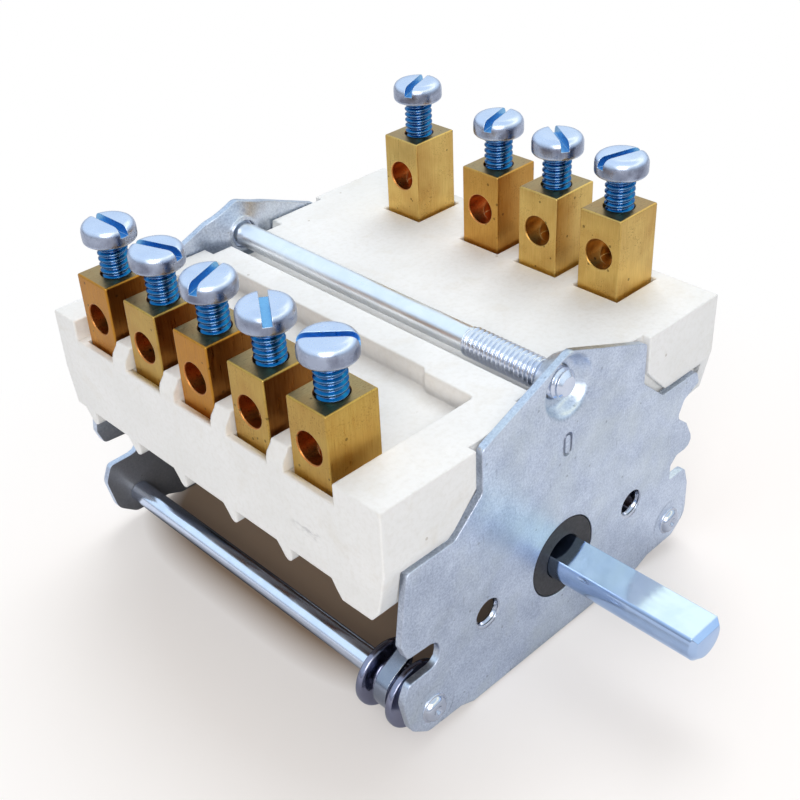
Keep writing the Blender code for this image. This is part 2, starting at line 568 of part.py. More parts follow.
def fixed_contact(name, y, middles, foot_top):
    """Strip under the ceiling from a right terminal to the button of each chamber it serves."""
    half = LEAF_HALF
    back = RIGHT_ROW_X + BLOCK_X - 1.0 * MM
    tip = BUTTON_X - half
    near, far = min(middles) - half, max(middles) + half
    if len(middles) == 1:
        outline = [(tip, near), (back, near), (back, far), (tip, far)]
    else:
        inside = RIGHT_ROW_X - 2.2 * MM
        outline = [(tip, near), (back, near), (back, far), (tip, far), (tip, far - 2 * half),
                   (inside, far - 2 * half), (inside, near + 2 * half), (tip, near + 2 * half)]
    body = prism("strip", outline, "Z", FIXED_UNDER, FIXED_UNDER + STRIP)
    centre = y + BLOCK_Y / 2
    foot = box("foot", (RIGHT_ROW_X + 1.6 * MM, RIGHT_ROW_X + BLOCK_X - 1.6 * MM),
               (centre - 1.9 * MM, centre + 1.9 * MM),
               (FIXED_UNDER + 0.2 * MM, foot_top))
    return finish(weld(body, foot, *[fixed_button(m) for m in middles]), name, BRONZE)


def follower(index):
    """Ceramic pin that lifts a contact spring when the cam below it is high."""
    middle = FIRST + PITCH * index + BLOCK_Y / 2
    top, low = LEAF_TOP - LEAF - GAP, CAM_LOW + GAP
    tip = 1.9 * MM
    outline = [(-tip, top), (-tip, low + 1.1 * MM), (-tip * 0.7, low + 0.35 * MM), (0, low),
               (tip * 0.7, low + 0.35 * MM), (tip, low + 1.1 * MM), (tip, top)]
    return finish(prism("follower", outline, "Y", middle - 1.9 * MM, middle + 1.9 * MM),
                  "follower_%d" % (index + 1), CERAMIC)


housing()
plate("front_plate", True)
plate("rear_plate", False)
tie_screw()
for word, side in (("left", -1), ("right", 1)):
    tie_rod(word + "_tie_rod", side)
    spool(word + "_spool", side)
    detent_strip(word + "_detent_strip", side)
bushing("front_bushing", True)
bushing("rear_bushing", False)
shaft()
star()

# Which contacts close in positions 1, 2 and 3; all are open at 0.
SWITCHING = [(1, 2, 3), (2, 3), (1, 3), (1, 2), (2,)]
for number, raised in enumerate(SWITCHING):
    cam(number, raised)
    follower(number)
    contact_spring(number)

SLOT_TURNS_LEFT = [135, 55, 22, 109, 92]
SLOT_TURNS_RIGHT = [165, 56, 16, 22]
for number, y in enumerate(left_rows):
    label = 5 - number
    terminal("terminal_%d" % label, LEFT_ROW_X, y, LEFT_ROW_TOP)
    terminal_screw("screw_%d" % label, LEFT_ROW_X, y, LEFT_ROW_TOP, SLOT_TURNS_LEFT[number])
for number, y in enumerate(right_rows):
    label = 9 - number
    served, lift = ([number], 0) if number < 3 else ([3, 4], REAR_LIFT)
    top = RIGHT_ROW_TOP + lift
    terminal("terminal_%d" % label, RIGHT_ROW_X, y, top)
    terminal_screw("screw_%d" % label, RIGHT_ROW_X, y, top, SLOT_TURNS_RIGHT[number], lift)
    middles = [FIRST + PITCH * k + BLOCK_Y / 2 for k in served]
    fixed_contact("fixed_contact_%d" % label, y, middles, top - BLOCK_Z - GAP)
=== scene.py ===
# %% [markdown]
# A rotary switch from an electric cooker: a ceramic body between two zinc-plated steel plates, a
# row of brass terminals on either side, and a flatted shaft that turns the cams below. The solid
# model is loaded as a fixed frame. This file gives every piece its finish, and swaps the pieces
# that show close up for finer ones in the same place.

# %% Load the frame
import json
import math

import bmesh
import bpy
from mathutils import Matrix, Vector

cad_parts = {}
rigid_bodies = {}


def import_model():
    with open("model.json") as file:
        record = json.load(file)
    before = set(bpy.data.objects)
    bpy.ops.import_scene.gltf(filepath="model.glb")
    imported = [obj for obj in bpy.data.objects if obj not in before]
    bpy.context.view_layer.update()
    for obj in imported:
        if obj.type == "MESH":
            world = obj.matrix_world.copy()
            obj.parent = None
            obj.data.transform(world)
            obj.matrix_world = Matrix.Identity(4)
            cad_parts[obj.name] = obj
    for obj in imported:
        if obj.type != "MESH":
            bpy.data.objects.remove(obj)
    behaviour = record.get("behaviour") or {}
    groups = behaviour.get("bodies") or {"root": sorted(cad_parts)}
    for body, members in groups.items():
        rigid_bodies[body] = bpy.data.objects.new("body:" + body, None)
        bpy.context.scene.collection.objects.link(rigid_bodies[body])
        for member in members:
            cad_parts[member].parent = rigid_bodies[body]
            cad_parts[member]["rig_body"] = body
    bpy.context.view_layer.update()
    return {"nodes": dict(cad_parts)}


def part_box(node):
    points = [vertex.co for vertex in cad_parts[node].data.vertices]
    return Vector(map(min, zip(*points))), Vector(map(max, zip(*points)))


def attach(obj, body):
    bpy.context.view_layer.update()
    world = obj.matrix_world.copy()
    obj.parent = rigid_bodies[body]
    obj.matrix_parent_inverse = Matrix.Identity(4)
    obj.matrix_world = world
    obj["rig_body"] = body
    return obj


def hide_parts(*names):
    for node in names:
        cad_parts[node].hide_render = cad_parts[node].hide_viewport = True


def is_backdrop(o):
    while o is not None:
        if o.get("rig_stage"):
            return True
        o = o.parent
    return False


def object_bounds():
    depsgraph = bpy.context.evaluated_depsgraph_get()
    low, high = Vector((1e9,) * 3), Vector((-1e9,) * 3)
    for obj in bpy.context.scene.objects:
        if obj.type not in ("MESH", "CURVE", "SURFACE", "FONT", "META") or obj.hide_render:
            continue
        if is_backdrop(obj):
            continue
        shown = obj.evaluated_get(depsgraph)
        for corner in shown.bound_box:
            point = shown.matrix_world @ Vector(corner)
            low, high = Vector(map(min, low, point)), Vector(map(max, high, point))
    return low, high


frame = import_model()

MM = 0.001

# %% [markdown]
# The camera comes first. The switch was photographed from its front left corner, from a little
# above. Azimuth, drop and roll are written as angles, and the camera's three axes are worked out
# from them.

# %% Camera
FOCAL_LENGTH = 55.1
CAMERA_PLACE = Vector((-92.8, -92.65, 116.5)) * MM
CAMERA_HEADING = math.radians(-42.74)
CAMERA_DROP = math.radians(34.12)
CAMERA_ROLL = math.radians(-2.96)

camera = bpy.data.objects.new("camera", bpy.data.cameras.new("camera"))
camera.data.lens = FOCAL_LENGTH
camera.data.sensor_width = 36
camera.data.clip_start = 5 * MM
camera.data.clip_end = 20
heading = Matrix.Rotation(CAMERA_HEADING, 4, "Z")
tilt = Matrix.Rotation(math.pi / 2 - CAMERA_DROP, 4, "X")
roll = Matrix.Rotation(CAMERA_ROLL, 4, "Z")
camera.matrix_world = Matrix.Translation(CAMERA_PLACE) @ heading @ tilt @ roll
bpy.context.scene.collection.objects.link(camera)
bpy.context.scene.camera = camera
sight = camera.matrix_world.to_3x3() @ Vector((0, 0, -1))
print("camera looks along", [round(v, 3) for v in sight])

# %% [markdown]
# Colours are easiest to judge as they look on a screen, from 0 to 255, but a shader takes linear
# light. A small helper converts one to the other, so that every colour below can be read as a
# screen colour. Nodes are then added by one helper, which takes their options and inputs by name.

# %% Screen colours and shader nodes
def screen(*channels):
    shares = [value / 255 for value in channels]
    linear = [v / 12.92 if v <= 0.04 else ((v + 0.055) / 1.055) ** 2.4 for v in shares]
    return (*linear, 1.0)


def add(tree, kind, inputs=None, **settings):
    """Add a shader node, set its options by name and its inputs by name or number."""
    made = tree.nodes.new(kind)
    for key, value in settings.items():
        setattr(made, key, value)
    for key, value in (inputs or {}).items():
        if isinstance(value, bpy.types.NodeSocket):
            tree.links.new(value, made.inputs[key])
        else:
            made.inputs[key].default_value = value
    return made


def maths(tree, operation, first, second=0.0):
    return add(tree, "ShaderNodeMath", {0: first, 1: second}, operation=operation).outputs[0]


def blend_colours(tree, share, first, second):
    """Inputs 6 and 7 of the mix node are its two colours."""
    inputs = {"Factor": share, 6: first, 7: second}
    return add(tree, "ShaderNodeMix", inputs, data_type="RGBA").outputs[2]


def spread(tree, value, low, high, to_low=0.0, to_high=1.0):
    """Map a range of values onto another one, and clamp it there."""
    inputs = {"Value": value, "From Min": low, "From Max": high, "To Min": to_low, "To Max": to_high}
    return add(tree, "ShaderNodeMapRange", inputs).outputs["Result"]


def new_material(name, roughness, metallic):
    made = bpy.data.materials.new(name)
    made.use_nodes = True
    shader = made.node_tree.nodes["Principled BSDF"]
    shader.inputs["Roughness"].default_value = roughness
    shader.inputs["Metallic"].default_value = metallic
    return made, made.node_tree, shader


def new_group(name, inputs, outputs):
    """Start a node group. Inputs are (name, type, default), outputs are (name, type)."""
    group = bpy.data.node_groups.new(name, "ShaderNodeTree")
    for label, kind, default in inputs:
        socket = group.interface.new_socket(label, in_out="INPUT", socket_type=kind)
        socket.default_value = default
    for label, kind in outputs:
        group.interface.new_socket(label, in_out="OUTPUT", socket_type=kind)
    start, end = group.nodes.new("NodeGroupInput"), group.nodes.new("NodeGroupOutput")
    return group, start.outputs, end.inputs


def use_group(tree, group, **values):
    return add(tree, "ShaderNodeGroup", values, node_tree=group).outputs


def roughen(tree, shader, strength, depth, height, rim):
    """Feed a height to the surface as fine relief, on top of the rounded edges."""
    relief = add(tree, "ShaderNodeBump", {"Strength": strength, "Distance": depth * MM,
                                          "Height": height, "Normal": rim["Normal"]})
    tree.links.new(relief.outputs[0], shader.inputs["Normal"])


def tint(tree, share, mask, colour, towards):
    """Blend a colour towards another one by a part of a mask."""
    return blend_colours(tree, maths(tree, "MULTIPLY", mask, share), colour, towards)


FLOAT, VECTOR = "NodeSocketFloat", "NodeSocketVector"
print("a mid grey of 128 is", round(screen(128, 128, 128)[0], 3), "in linear light")

# %% [markdown]
# Three effects come back on almost every surface: grain, which is noise stretched along the way
# that a piece was drawn, rolled or pressed; blotches, which are slow changes of colour; and specks,
# which are the small dark spots that handling and firing leave. Each is a node group, built once,
# with its scale and direction as inputs. They read Object coordinates, so they stay put on the
# piece from every side. Scales are in marks per metre, because the scene is in metres.

# %% Group: grain
GRAIN, taken, given = new_group("grain", [("Stretch", VECTOR, (1, 1, 1)), ("Scale", FLOAT, 2000.0),
                                          ("Detail", FLOAT, 4.0)], [("Value", FLOAT)])
place = add(GRAIN, "ShaderNodeTexCoord").outputs["Object"]
scaled = add(GRAIN, "ShaderNodeVectorMath", {0: place, 1: taken["Stretch"]}, operation="MULTIPLY")
marks = add(GRAIN, "ShaderNodeTexNoise", {"Vector": scaled.outputs[0], "Scale": taken["Scale"],
                                          "Detail": taken["Detail"], "Roughness": 0.6})
GRAIN.links.new(marks.outputs["Fac"], given["Value"])
print("grain is built from", len(GRAIN.nodes), "nodes")

# %% Group: blotches
BLOTCHES, taken, given = new_group("blotches", [("Scale", FLOAT, 100.0), ("Low", FLOAT, 0.4),
                                                ("High", FLOAT, 0.6), ("Seed", FLOAT, 0.0)],
                                   [("Mask", FLOAT)])
place = add(BLOTCHES, "ShaderNodeTexCoord").outputs["Object"]
cloud = add(BLOTCHES, "ShaderNodeTexNoise",
            {"Vector": place, "W": taken["Seed"], "Scale": taken["Scale"], "Detail": 5.0,
             "Roughness": 0.55, "Distortion": 0.4}, noise_dimensions="4D")
mask = spread(BLOTCHES, cloud.outputs["Fac"], taken["Low"], taken["High"])
BLOTCHES.links.new(mask, given["Mask"])
print("blotches are built from", len(BLOTCHES.nodes), "nodes")

# %% Group: specks
SPECKS, taken, given = new_group("specks", [("Scale", FLOAT, 1500.0), ("Size", FLOAT, 0.2),
                                            ("Share", FLOAT, 0.2)], [("Mask", FLOAT)])
place = add(SPECKS, "ShaderNodeTexCoord").outputs["Object"]
cells = add(SPECKS, "ShaderNodeTexVoronoi", {"Vector": place, "Scale": taken["Scale"]})
picked = add(SPECKS, "ShaderNodeSeparateColor", {"Color": cells.outputs["Color"]}).outputs[0]
near = maths(SPECKS, "LESS_THAN", cells.outputs["Distance"], taken["Size"])
chosen = maths(SPECKS, "LESS_THAN", picked, taken["Share"])
SPECKS.links.new(maths(SPECKS, "MULTIPLY", near, chosen), given["Mask"])
print("specks are built from", len(SPECKS.nodes), "nodes")

# %% [markdown]
# Edges catch the light on real pieces, because they are never perfectly sharp and because they
# wear first. The Bevel shader node gives a normal rounded over the edge. Where it leaves the
# face's own normal, there is an edge, and that difference is the mask. Where a finish lightens its
# colour by this mask, that is partly wear and partly a painted highlight.

# %% Group: edges
EDGES, taken, given = new_group("edges", [("Radius", FLOAT, 0.0003), ("Sharpness", FLOAT, 4.0)],
                                [("Mask", FLOAT), ("Normal", VECTOR)])
soft = add(EDGES, "ShaderNodeBevel", {"Radius": taken["Radius"]}, samples=6)
plain = add(EDGES, "ShaderNodeNewGeometry").outputs["Normal"]
same = add(EDGES, "ShaderNodeVectorMath", {0: soft.outputs[0], 1: plain}, operation="DOT_PRODUCT")
apart = maths(EDGES, "SUBTRACT", 1.0, same.outputs["Value"])
edge = add(EDGES, "ShaderNodeClamp", {0: maths(EDGES, "MULTIPLY", apart, taken["Sharpness"])})
EDGES.links.new(edge.outputs[0], given["Mask"])
EDGES.links.new(soft.outputs[0], given["Normal"])
print("node groups:", [g.name for g in bpy.data.node_groups])

# %% [markdown]
# Steatite is pressed from powder and fired, so it is matt, off-white and very slightly uneven, with
# soft edges, fine pits and a few dark specks. Layers of colour are laid over one another, from slow
# clouds to single specks. The left wall has one thin grey smudge from handling, which is a squashed
# ball of space filled with stretched grain.

# %% Finish: ceramic
CERAMIC, tree, shader = new_material("steatite", 0.62, 0.0)
clouds = use_group(tree, BLOTCHES, Scale=90.0, Low=0.35, High=0.7)["Mask"]
colour = blend_colours(tree, clouds, screen(244, 242, 239), screen(236, 234, 230))
grit = use_group(tree, GRAIN, Scale=1500.0, Detail=4.0)["Value"]
colour = blend_colours(tree, spread(tree, grit, 0.45, 0.72, 0.0, 0.4), colour, screen(227, 223, 216))
stains = use_group(tree, BLOTCHES, Scale=240.0, Low=0.55, High=0.75, Seed=7.0)["Mask"]
colour = tint(tree, 0.22, stains, colour, screen(216, 204, 182))
dots = use_group(tree, SPECKS, Scale=420.0, Size=0.09, Share=0.12)["Mask"]
colour = tint(tree, 0.45, dots, colour, screen(168, 154, 136))
where = add(tree, "ShaderNodeTexCoord").outputs["Object"]
SMUDGE_PLACE = Vector((-30.0, -8.6, 28.9)) * MM
SMUDGE_SQUASH = (1.0, 1.0, 3.2)
aside = add(tree, "ShaderNodeVectorMath", {0: where, 1: SMUDGE_PLACE}, operation="SUBTRACT")
squashed = add(tree, "ShaderNodeVectorMath", {0: aside.outputs[0], 1: SMUDGE_SQUASH},
               operation="MULTIPLY")
away = add(tree, "ShaderNodeVectorMath", {0: squashed.outputs[0]}, operation="LENGTH")
close = spread(tree, away.outputs["Value"], 3.4 * MM, 0.6 * MM)
streaks = use_group(tree, GRAIN, Stretch=(1.0, 0.4, 1.0), Scale=1500.0, Detail=3.0)["Value"]
dirt = maths(tree, "MULTIPLY", close, spread(tree, streaks, 0.46, 0.66))
colour = tint(tree, 0.42, dirt, colour, screen(96, 92, 96))
tree.links.new(colour, shader.inputs["Base Color"])
rim = use_group(tree, EDGES, Radius=0.00035)
fine = use_group(tree, GRAIN, Scale=2600.0, Detail=3.0)["Value"]
slow = use_group(tree, GRAIN, Scale=160.0, Detail=2.0)["Value"]
height = maths(tree, "ADD", maths(tree, "MULTIPLY", fine, 0.35), slow)
roughen(tree, shader, 0.4, 0.25, height, rim)
tree.links.new(spread(tree, fine, 0.3, 0.7, 0.55, 0.72), shader.inputs["Roughness"])
print("ceramic is built from", len(tree.nodes), "nodes")

# %% [markdown]
# The plates are cold-rolled steel with a thin zinc coat. Zinc dulls to a blue-grey that is mottled
# like a cloudy sky, with darker pores, while its edges are lighter, partly from wear and partly as a
# painted highlight. Low down on its inner side the rear plate is painted dark and less metallic,
# a painted shade that takes the metal's gleam away there. The stamped digit is painted in a darker
# tone of the same finish, a painted shade in its recess.

# %% Finish: zinc-plated sheet
def zinc_sheet(name, dark, light, painted_shade_inside=False):
    made, tree, shader = new_material(name, 0.4, 1.0)
    clouds = use_group(tree, BLOTCHES, Scale=260.0, Low=0.35, High=0.65)["Mask"]
    pores = use_group(tree, GRAIN, Scale=3600.0, Detail=4.0)["Value"]
    mottle = maths(tree, "ADD", maths(tree, "MULTIPLY", clouds, 0.35),
                   maths(tree, "MULTIPLY", spread(tree, pores, 0.32, 0.68), 0.65))
    colour = blend_colours(tree, mottle, dark, light)
    pale = use_group(tree, BLOTCHES, Scale=120.0, Low=0.5, High=0.7, Seed=2.0)["Mask"]
    colour = tint(tree, 0.4, pale, colour, screen(206, 212, 210))
    scratches = use_group(tree, GRAIN, Stretch=(1.0, 1.0, 0.12), Scale=2400.0, Detail=1.0)["Value"]
    colour = tint(tree, 0.25, spread(tree, scratches, 0.7, 0.76), colour, screen(120, 126, 142))
    dots = use_group(tree, SPECKS, Scale=700.0, Size=0.13, Share=0.2)["Mask"]
    colour = tint(tree, 0.35, dots, colour, screen(90, 96, 110))
    rim = use_group(tree, EDGES, Radius=0.00022)
    # Edges lighter by the edge mask: partly wear, partly a painted highlight.
    colour = tint(tree, 0.4, rim["Mask"], colour, screen(206, 208, 230))
    # Painted shade: the inner face turns dark and loses its metal towards the bottom.
    if painted_shade_inside:
        place = add(tree, "ShaderNodeTexCoord").outputs
        height = add(tree, "ShaderNodeSeparateXYZ", {0: place["Object"]}).outputs["Z"]
        facing = add(tree, "ShaderNodeSeparateXYZ", {0: place["Normal"]}).outputs["Y"]
        inner = maths(tree, "LESS_THAN", facing, -0.9)
        painted_shade = maths(tree, "MULTIPLY", inner, spread(tree, height, 24 * MM, 15 * MM, 0.0, 0.85))
        colour = blend_colours(tree, painted_shade, colour, screen(84, 80, 78))
        tree.links.new(maths(tree, "SUBTRACT", 1.0, painted_shade), shader.inputs["Metallic"])
    tree.links.new(colour, shader.inputs["Base Color"])
    tree.links.new(spread(tree, pores, 0.3, 0.7, 0.3, 0.42), shader.inputs["Roughness"])
    roughen(tree, shader, 0.3, 0.04, pores, rim)
    return made


DULL, PALE = screen(168, 178, 198), screen(228, 235, 247)
PLATE_ZINC = zinc_sheet("zinc_plated_sheet", DULL, PALE)
PAINTED_SHADE_ZINC = zinc_sheet("zinc_painted_shade_inside", DULL, PALE, painted_shade_inside=True)
# A darker tone for the digit's recess, as painted shade.
DIGIT_SHADE_ZINC = zinc_sheet("zinc_digit_painted_shade", screen(112, 120, 136), screen(150, 158, 174))
print("zinc sheet:", [m.name for m in (PLATE_ZINC, PAINTED_SHADE_ZINC, DIGIT_SHADE_ZINC)])

# %% [markdown]
# The shaft, rods and screws carry the same zinc, but bright: they are smooth, so it mirrors the
# room. Drawing and turning leave fine lines along or round a piece, which a stretched grain gives.
# The screw heads' sides are painted darker in blotches, a painted shade. On the terminal screws,
# threads and slots keep the blue tone that the coat got in its last bath, since nothing wears it
# off down there. The slots' blue is painted lighter, a painted light in their recess.

# %% Finish: bright zinc
def bright_zinc(name, tone, stretch, rough_low, rough_high, shaded_sides=None):
    made, tree, shader = new_material(name, rough_low, 1.0)
    lines = use_group(tree, GRAIN, Stretch=stretch, Scale=1800.0, Detail=3.0)["Value"]
    clouds = use_group(tree, BLOTCHES, Scale=330.0, Low=0.4, High=0.65)["Mask"]
    red, green, blue, alpha = tone
    colour = tint(tree, 0.5, clouds, tone, (red * 0.8, green * 0.84, blue * 0.9, alpha))
    # Painted shade: faces that look sideways are darkened in blotches.
    if shaded_sides:
        facing = add(tree, "ShaderNodeTexCoord").outputs["Normal"]
        upright = add(tree, "ShaderNodeSeparateXYZ", {0: facing}).outputs["Z"]
        side = spread(tree, maths(tree, "ABSOLUTE", upright), 0.7, 0.1)
        patchy = maths(tree, "ADD", maths(tree, "MULTIPLY", clouds, 0.5), 0.5)
        colour = tint(tree, patchy, side, colour, shaded_sides)
    rim = use_group(tree, EDGES, Radius=0.00015)
    # Edges and thread crests lighter by the edge mask: partly wear, partly a painted highlight.
    colour = tint(tree, 0.5, rim["Mask"], colour, screen(246, 247, 252))
    tree.links.new(colour, shader.inputs["Base Color"])
    rough = spread(tree, lines, 0.3, 0.7, rough_low, rough_high)
    tree.links.new(rough, shader.inputs["Roughness"])
    roughen(tree, shader, 0.2, 0.02, lines, rim)
    return made


ALONG_X, ALONG_Y, ALONG_Z = (0.25, 1.0, 1.0), (1.0, 0.06, 1.0), (1.0, 1.0, 0.06)
EVEN = (1.0, 1.0, 1.0)
SHAFT_ZINC = bright_zinc("bright_zinc_shaft", screen(184, 205, 236), ALONG_Y, 0.07, 0.13)
ROD_ZINC = bright_zinc("bright_zinc_rods", screen(250, 252, 255), ALONG_Y, 0.26, 0.4)
# The heads get a painted shade round their sides.
HEAD_ZINC = bright_zinc("bright_zinc_heads", screen(212, 221, 240), EVEN, 0.24, 0.36,
                        shaded_sides=screen(120, 122, 138))
POLISHED_ZINC = bright_zinc("bright_zinc_polished", screen(228, 236, 252), ALONG_Y, 0.12, 0.2)
THREAD_ZINC = bright_zinc("bright_zinc_thread", screen(222, 226, 238), EVEN, 0.16, 0.26)
TAPPED_ZINC = bright_zinc("bright_zinc_tapped", screen(196, 200, 212), EVEN, 0.14, 0.22)
SPOOL_ZINC = bright_zinc("bright_zinc_spools", screen(146, 147, 168), EVEN, 0.12, 0.22)
BLUE_ZINC = bright_zinc("blue_zinc", screen(18, 98, 152), EVEN, 0.12, 0.22)
# The slots' blue: partly the coat's real blue, partly painted light, as it is lighter than the threads.
LIT_SLOT_ZINC = bright_zinc("blue_zinc_slots_painted_light", screen(128, 188, 230), EVEN, 0.24, 0.4)
print("bright zinc:", [m.name for m in bpy.data.materials if "bright" in m.name or "blue" in m.name])

# %% [markdown]
# Brass bar is drawn through a die, which leaves lines along its length. Here the bar stood
# upright, so they run up and down. Cut ends are duller and more olive, corners are lighter, partly
# from wear and partly as a painted highlight, patches of fine brown spots show where it was touched,
# and some blocks have darkened towards copper. A dark tone is painted shade on faces that look at
# the next block, and the bored one is for the holes.

# %% Finish: brass
def brass(name, light, dark, stretch=ALONG_Z):
    made, tree, shader = new_material(name, 0.34, 1.0)
    lines = use_group(tree, GRAIN, Stretch=stretch, Scale=5200.0, Detail=3.0)["Value"]
    clouds = use_group(tree, BLOTCHES, Scale=210.0, Low=0.4, High=0.7)["Mask"]
    colour = blend_colours(tree, spread(tree, lines, 0.2, 0.8), dark, light)
    colour = tint(tree, 0.4, clouds, colour, screen(170, 112, 44))
    worn = use_group(tree, BLOTCHES, Scale=300.0, Low=0.48, High=0.62, Seed=5.0)["Mask"]
    spots = spread(tree, use_group(tree, GRAIN, Scale=5200.0, Detail=2.0)["Value"], 0.56, 0.66)
    spots = maths(tree, "MULTIPLY", worn, spots)
    colour = tint(tree, 0.55, spots, colour, screen(120, 76, 26))
    dots = use_group(tree, SPECKS, Scale=800.0, Size=0.16, Share=0.16)["Mask"]
    colour = tint(tree, 0.6, dots, colour, screen(70, 48, 20))
    rim = use_group(tree, EDGES, Radius=0.0002)
    # Edges lighter by the edge mask: partly wear, partly a painted highlight.
    colour = tint(tree, 0.7, rim["Mask"], colour, screen(246, 224, 160))
    tree.links.new(colour, shader.inputs["Base Color"])
    tree.links.new(spread(tree, lines, 0.3, 0.7, 0.26, 0.44), shader.inputs["Roughness"])
    roughen(tree, shader, 0.35, 0.04, lines, rim)
    return made


GOLDEN_BRASS = brass("golden_brass", screen(230, 196, 118), screen(204, 166, 90))
OLIVE_BRASS = brass("olive_brass", screen(208, 172, 92), screen(180, 142, 66))
AMBER_BRASS = brass("amber_brass", screen(212, 164, 84), screen(184, 132, 60))
COPPER_BRASS = brass("coppery_brass", screen(208, 148, 56), screen(178, 116, 36))
SAWN_BRASS = brass("sawn_brass", screen(188, 162, 114), screen(148, 124, 80), stretch=ALONG_X)
# Painted shade for the front faces of the first four blocks.
SHADED_FRONT_BRASS = brass("brass_painted_shade", screen(150, 100, 46), screen(112, 68, 26))
BORED_BRASS = brass("bored_brass", screen(222, 142, 70), screen(180, 96, 42), stretch=EVEN)
CONTACT_BRONZE = brass("contact_bronze", screen(206, 140, 96), screen(160, 98, 60), stretch=EVEN)
print("brass:", [m.name for m in bpy.data.materials if "brass" in m.name or "bronze" in m.name])

# %% [markdown]
# Black moulded rings, brown resin cams and blued spring steel are seen only in part. They still
# get a grain and a sheen of their own, because the switch may be turned over.

# %% Finish: resin and spring steel
def moulded(name, colour_a, colour_b, rough):
    made, tree, shader = new_material(name, rough, 0.0)
    clouds = use_group(tree, BLOTCHES, Scale=300.0, Low=0.35, High=0.7)["Mask"]
    tree.links.new(blend_colours(tree, clouds, colour_a, colour_b), shader.inputs["Base Color"])
    fine = use_group(tree, GRAIN, Scale=3000.0, Detail=3.0)["Value"]
    uneven = spread(tree, fine, 0.3, 0.7, rough - 0.08, rough + 0.1)
    tree.links.new(uneven, shader.inputs["Roughness"])
    roughen(tree, shader, 0.2, 0.03, fine, use_group(tree, EDGES, Radius=0.0002))
    return made


BLACK_RESIN = moulded("black_resin", screen(34, 31, 33), screen(46, 42, 43), 0.5)
BROWN_RESIN = moulded("brown_resin", screen(92, 62, 44), screen(74, 48, 34), 0.45)
SPRING_STEEL = bright_zinc("blued_spring_steel", screen(150, 156, 170), EVEN, 0.14, 0.26)
print("a moulded finish is built from", len(BROWN_RESIN.node_tree.nodes), "nodes")

# %% [markdown]
# Every solid of the model now gets its finish by the kind of piece it is. The solids are named for
# their pieces, so a name without its number is enough.

# %% Dress the solids
FINISHES = {"housing": CERAMIC, "follower": CERAMIC, "front_plate": PLATE_ZINC,
            "rear_plate": PAINTED_SHADE_ZINC, "detent_wheel": PLATE_ZINC, "top_tie_screw": ROD_ZINC,
            "left_tie_rod": POLISHED_ZINC, "right_tie_rod": POLISHED_ZINC, "shaft": SHAFT_ZINC,
            "screw": HEAD_ZINC, "terminal": GOLDEN_BRASS, "front_bushing": BLACK_RESIN,
            "rear_bushing": BLACK_RESIN, "cam": BROWN_RESIN, "contact_spring": CONTACT_BRONZE,
            "fixed_contact": CONTACT_BRONZE, "left_spool": SPRING_STEEL, "right_spool": SPRING_STEEL,
            "left_detent_strip": SPRING_STEEL, "right_detent_strip": SPRING_STEEL}


def kind_of(node):
    return node.rstrip("0123456789").rstrip("_")


for node, solid in frame["nodes"].items():
    solid.data.materials.clear()
    solid.data.materials.append(FINISHES[kind_of(node)])
print("dressed", len(frame["nodes"]), "solids")

# %% [markdown]
# Turned and threaded pieces start as a profile. A lathe spins it once round; a thread spins the
# outline of one groove along a helix, so that each turn meets the next, and cuts the ends flat.
# Cuts such as slots and bores are Booleans, and the cutter hands its own finish to the faces that
# it leaves. A finished piece sits at the origin with its place in its mesh, and rides on the body
# of the solid that it stands for.


def brick(size):
    shape = bmesh.new()
    bmesh.ops.create_cube(shape, size=1)
    bmesh.ops.scale(shape, vec=size, verts=shape.verts)
    return shape


def scaled_to_mm(profile):
    return [(radius * MM, height * MM) for radius, height in profile]


def lathe(profile, steps=64, closed=False):
    """Spin (radius, height) points round Z. A closed profile makes a ring."""
    shape = bmesh.new()
    points = [shape.verts.new((radius, 0, height)) for radius, height in profile]
    lines = [shape.edges.new(pair) for pair in zip(points, points[1:])]
    if closed:
        lines.append(shape.edges.new((points[-1], points[0])))
    bmesh.ops.spin(shape, geom=points + lines, cent=(0, 0, 0), axis=(0, 0, 1), dvec=(0, 0, 0),
                   angle=2 * math.pi, steps=steps, use_merge=True)
    bmesh.ops.remove_doubles(shape, verts=shape.verts, dist=1e-7)
    bmesh.ops.recalc_face_normals(shape, faces=shape.faces)
    return shape


def thread(length, crest, root, pitch=0.7 * MM, steps=32):
    """Threaded rod along Z from 0 to its length, with flat ends."""
    shape = bmesh.new()
    groove = [(root, 0.0), (crest, 0.4), (crest, 0.55), (root, 0.92), (root, 1.0)]
    points = [shape.verts.new((radius, 0, (share - 1.5) * pitch)) for radius, share in groove]
    lines = [shape.edges.new(pair) for pair in zip(points, points[1:])]
    turns = math.ceil(length / pitch) + 3
    bmesh.ops.spin(shape, geom=points + lines, cent=(0, 0, 0), axis=(0, 0, 1),
                   dvec=(0, 0, pitch / steps), angle=2 * math.pi * turns, steps=steps * turns,
                   use_merge=False)
    bmesh.ops.remove_doubles(shape, verts=shape.verts, dist=1e-6)
    for height, outward in ((0, -1), (length, 1)):
        everything = shape.verts[:] + shape.edges[:] + shape.faces[:]
        bmesh.ops.bisect_plane(shape, geom=everything, dist=1e-8, plane_co=(0, 0, height),
                               plane_no=(0, 0, outward), clear_outer=True)
        rim = [e for e in shape.edges if e.is_boundary
               and all(abs(v.co.z - height) < 1e-7 for v in e.verts)]
        bmesh.ops.holes_fill(shape, edges=rim, sides=0)
    bmesh.ops.recalc_face_normals(shape, faces=shape.faces)
    return shape


def blunt_end(shape, start, radius, full=2.1 * MM):
    """Draw a threaded rod in to a smaller radius, from a start height down to its end at 0."""
    for point in shape.verts:
        share = max(0.0, 1.0 - point.co.z / start)
        allowed = full + (radius - full) * share
        beyond = math.hypot(point.co.x, point.co.y) / allowed
        if share > 0 and beyond > 1:
            point.co.x /= beyond
            point.co.y /= beyond


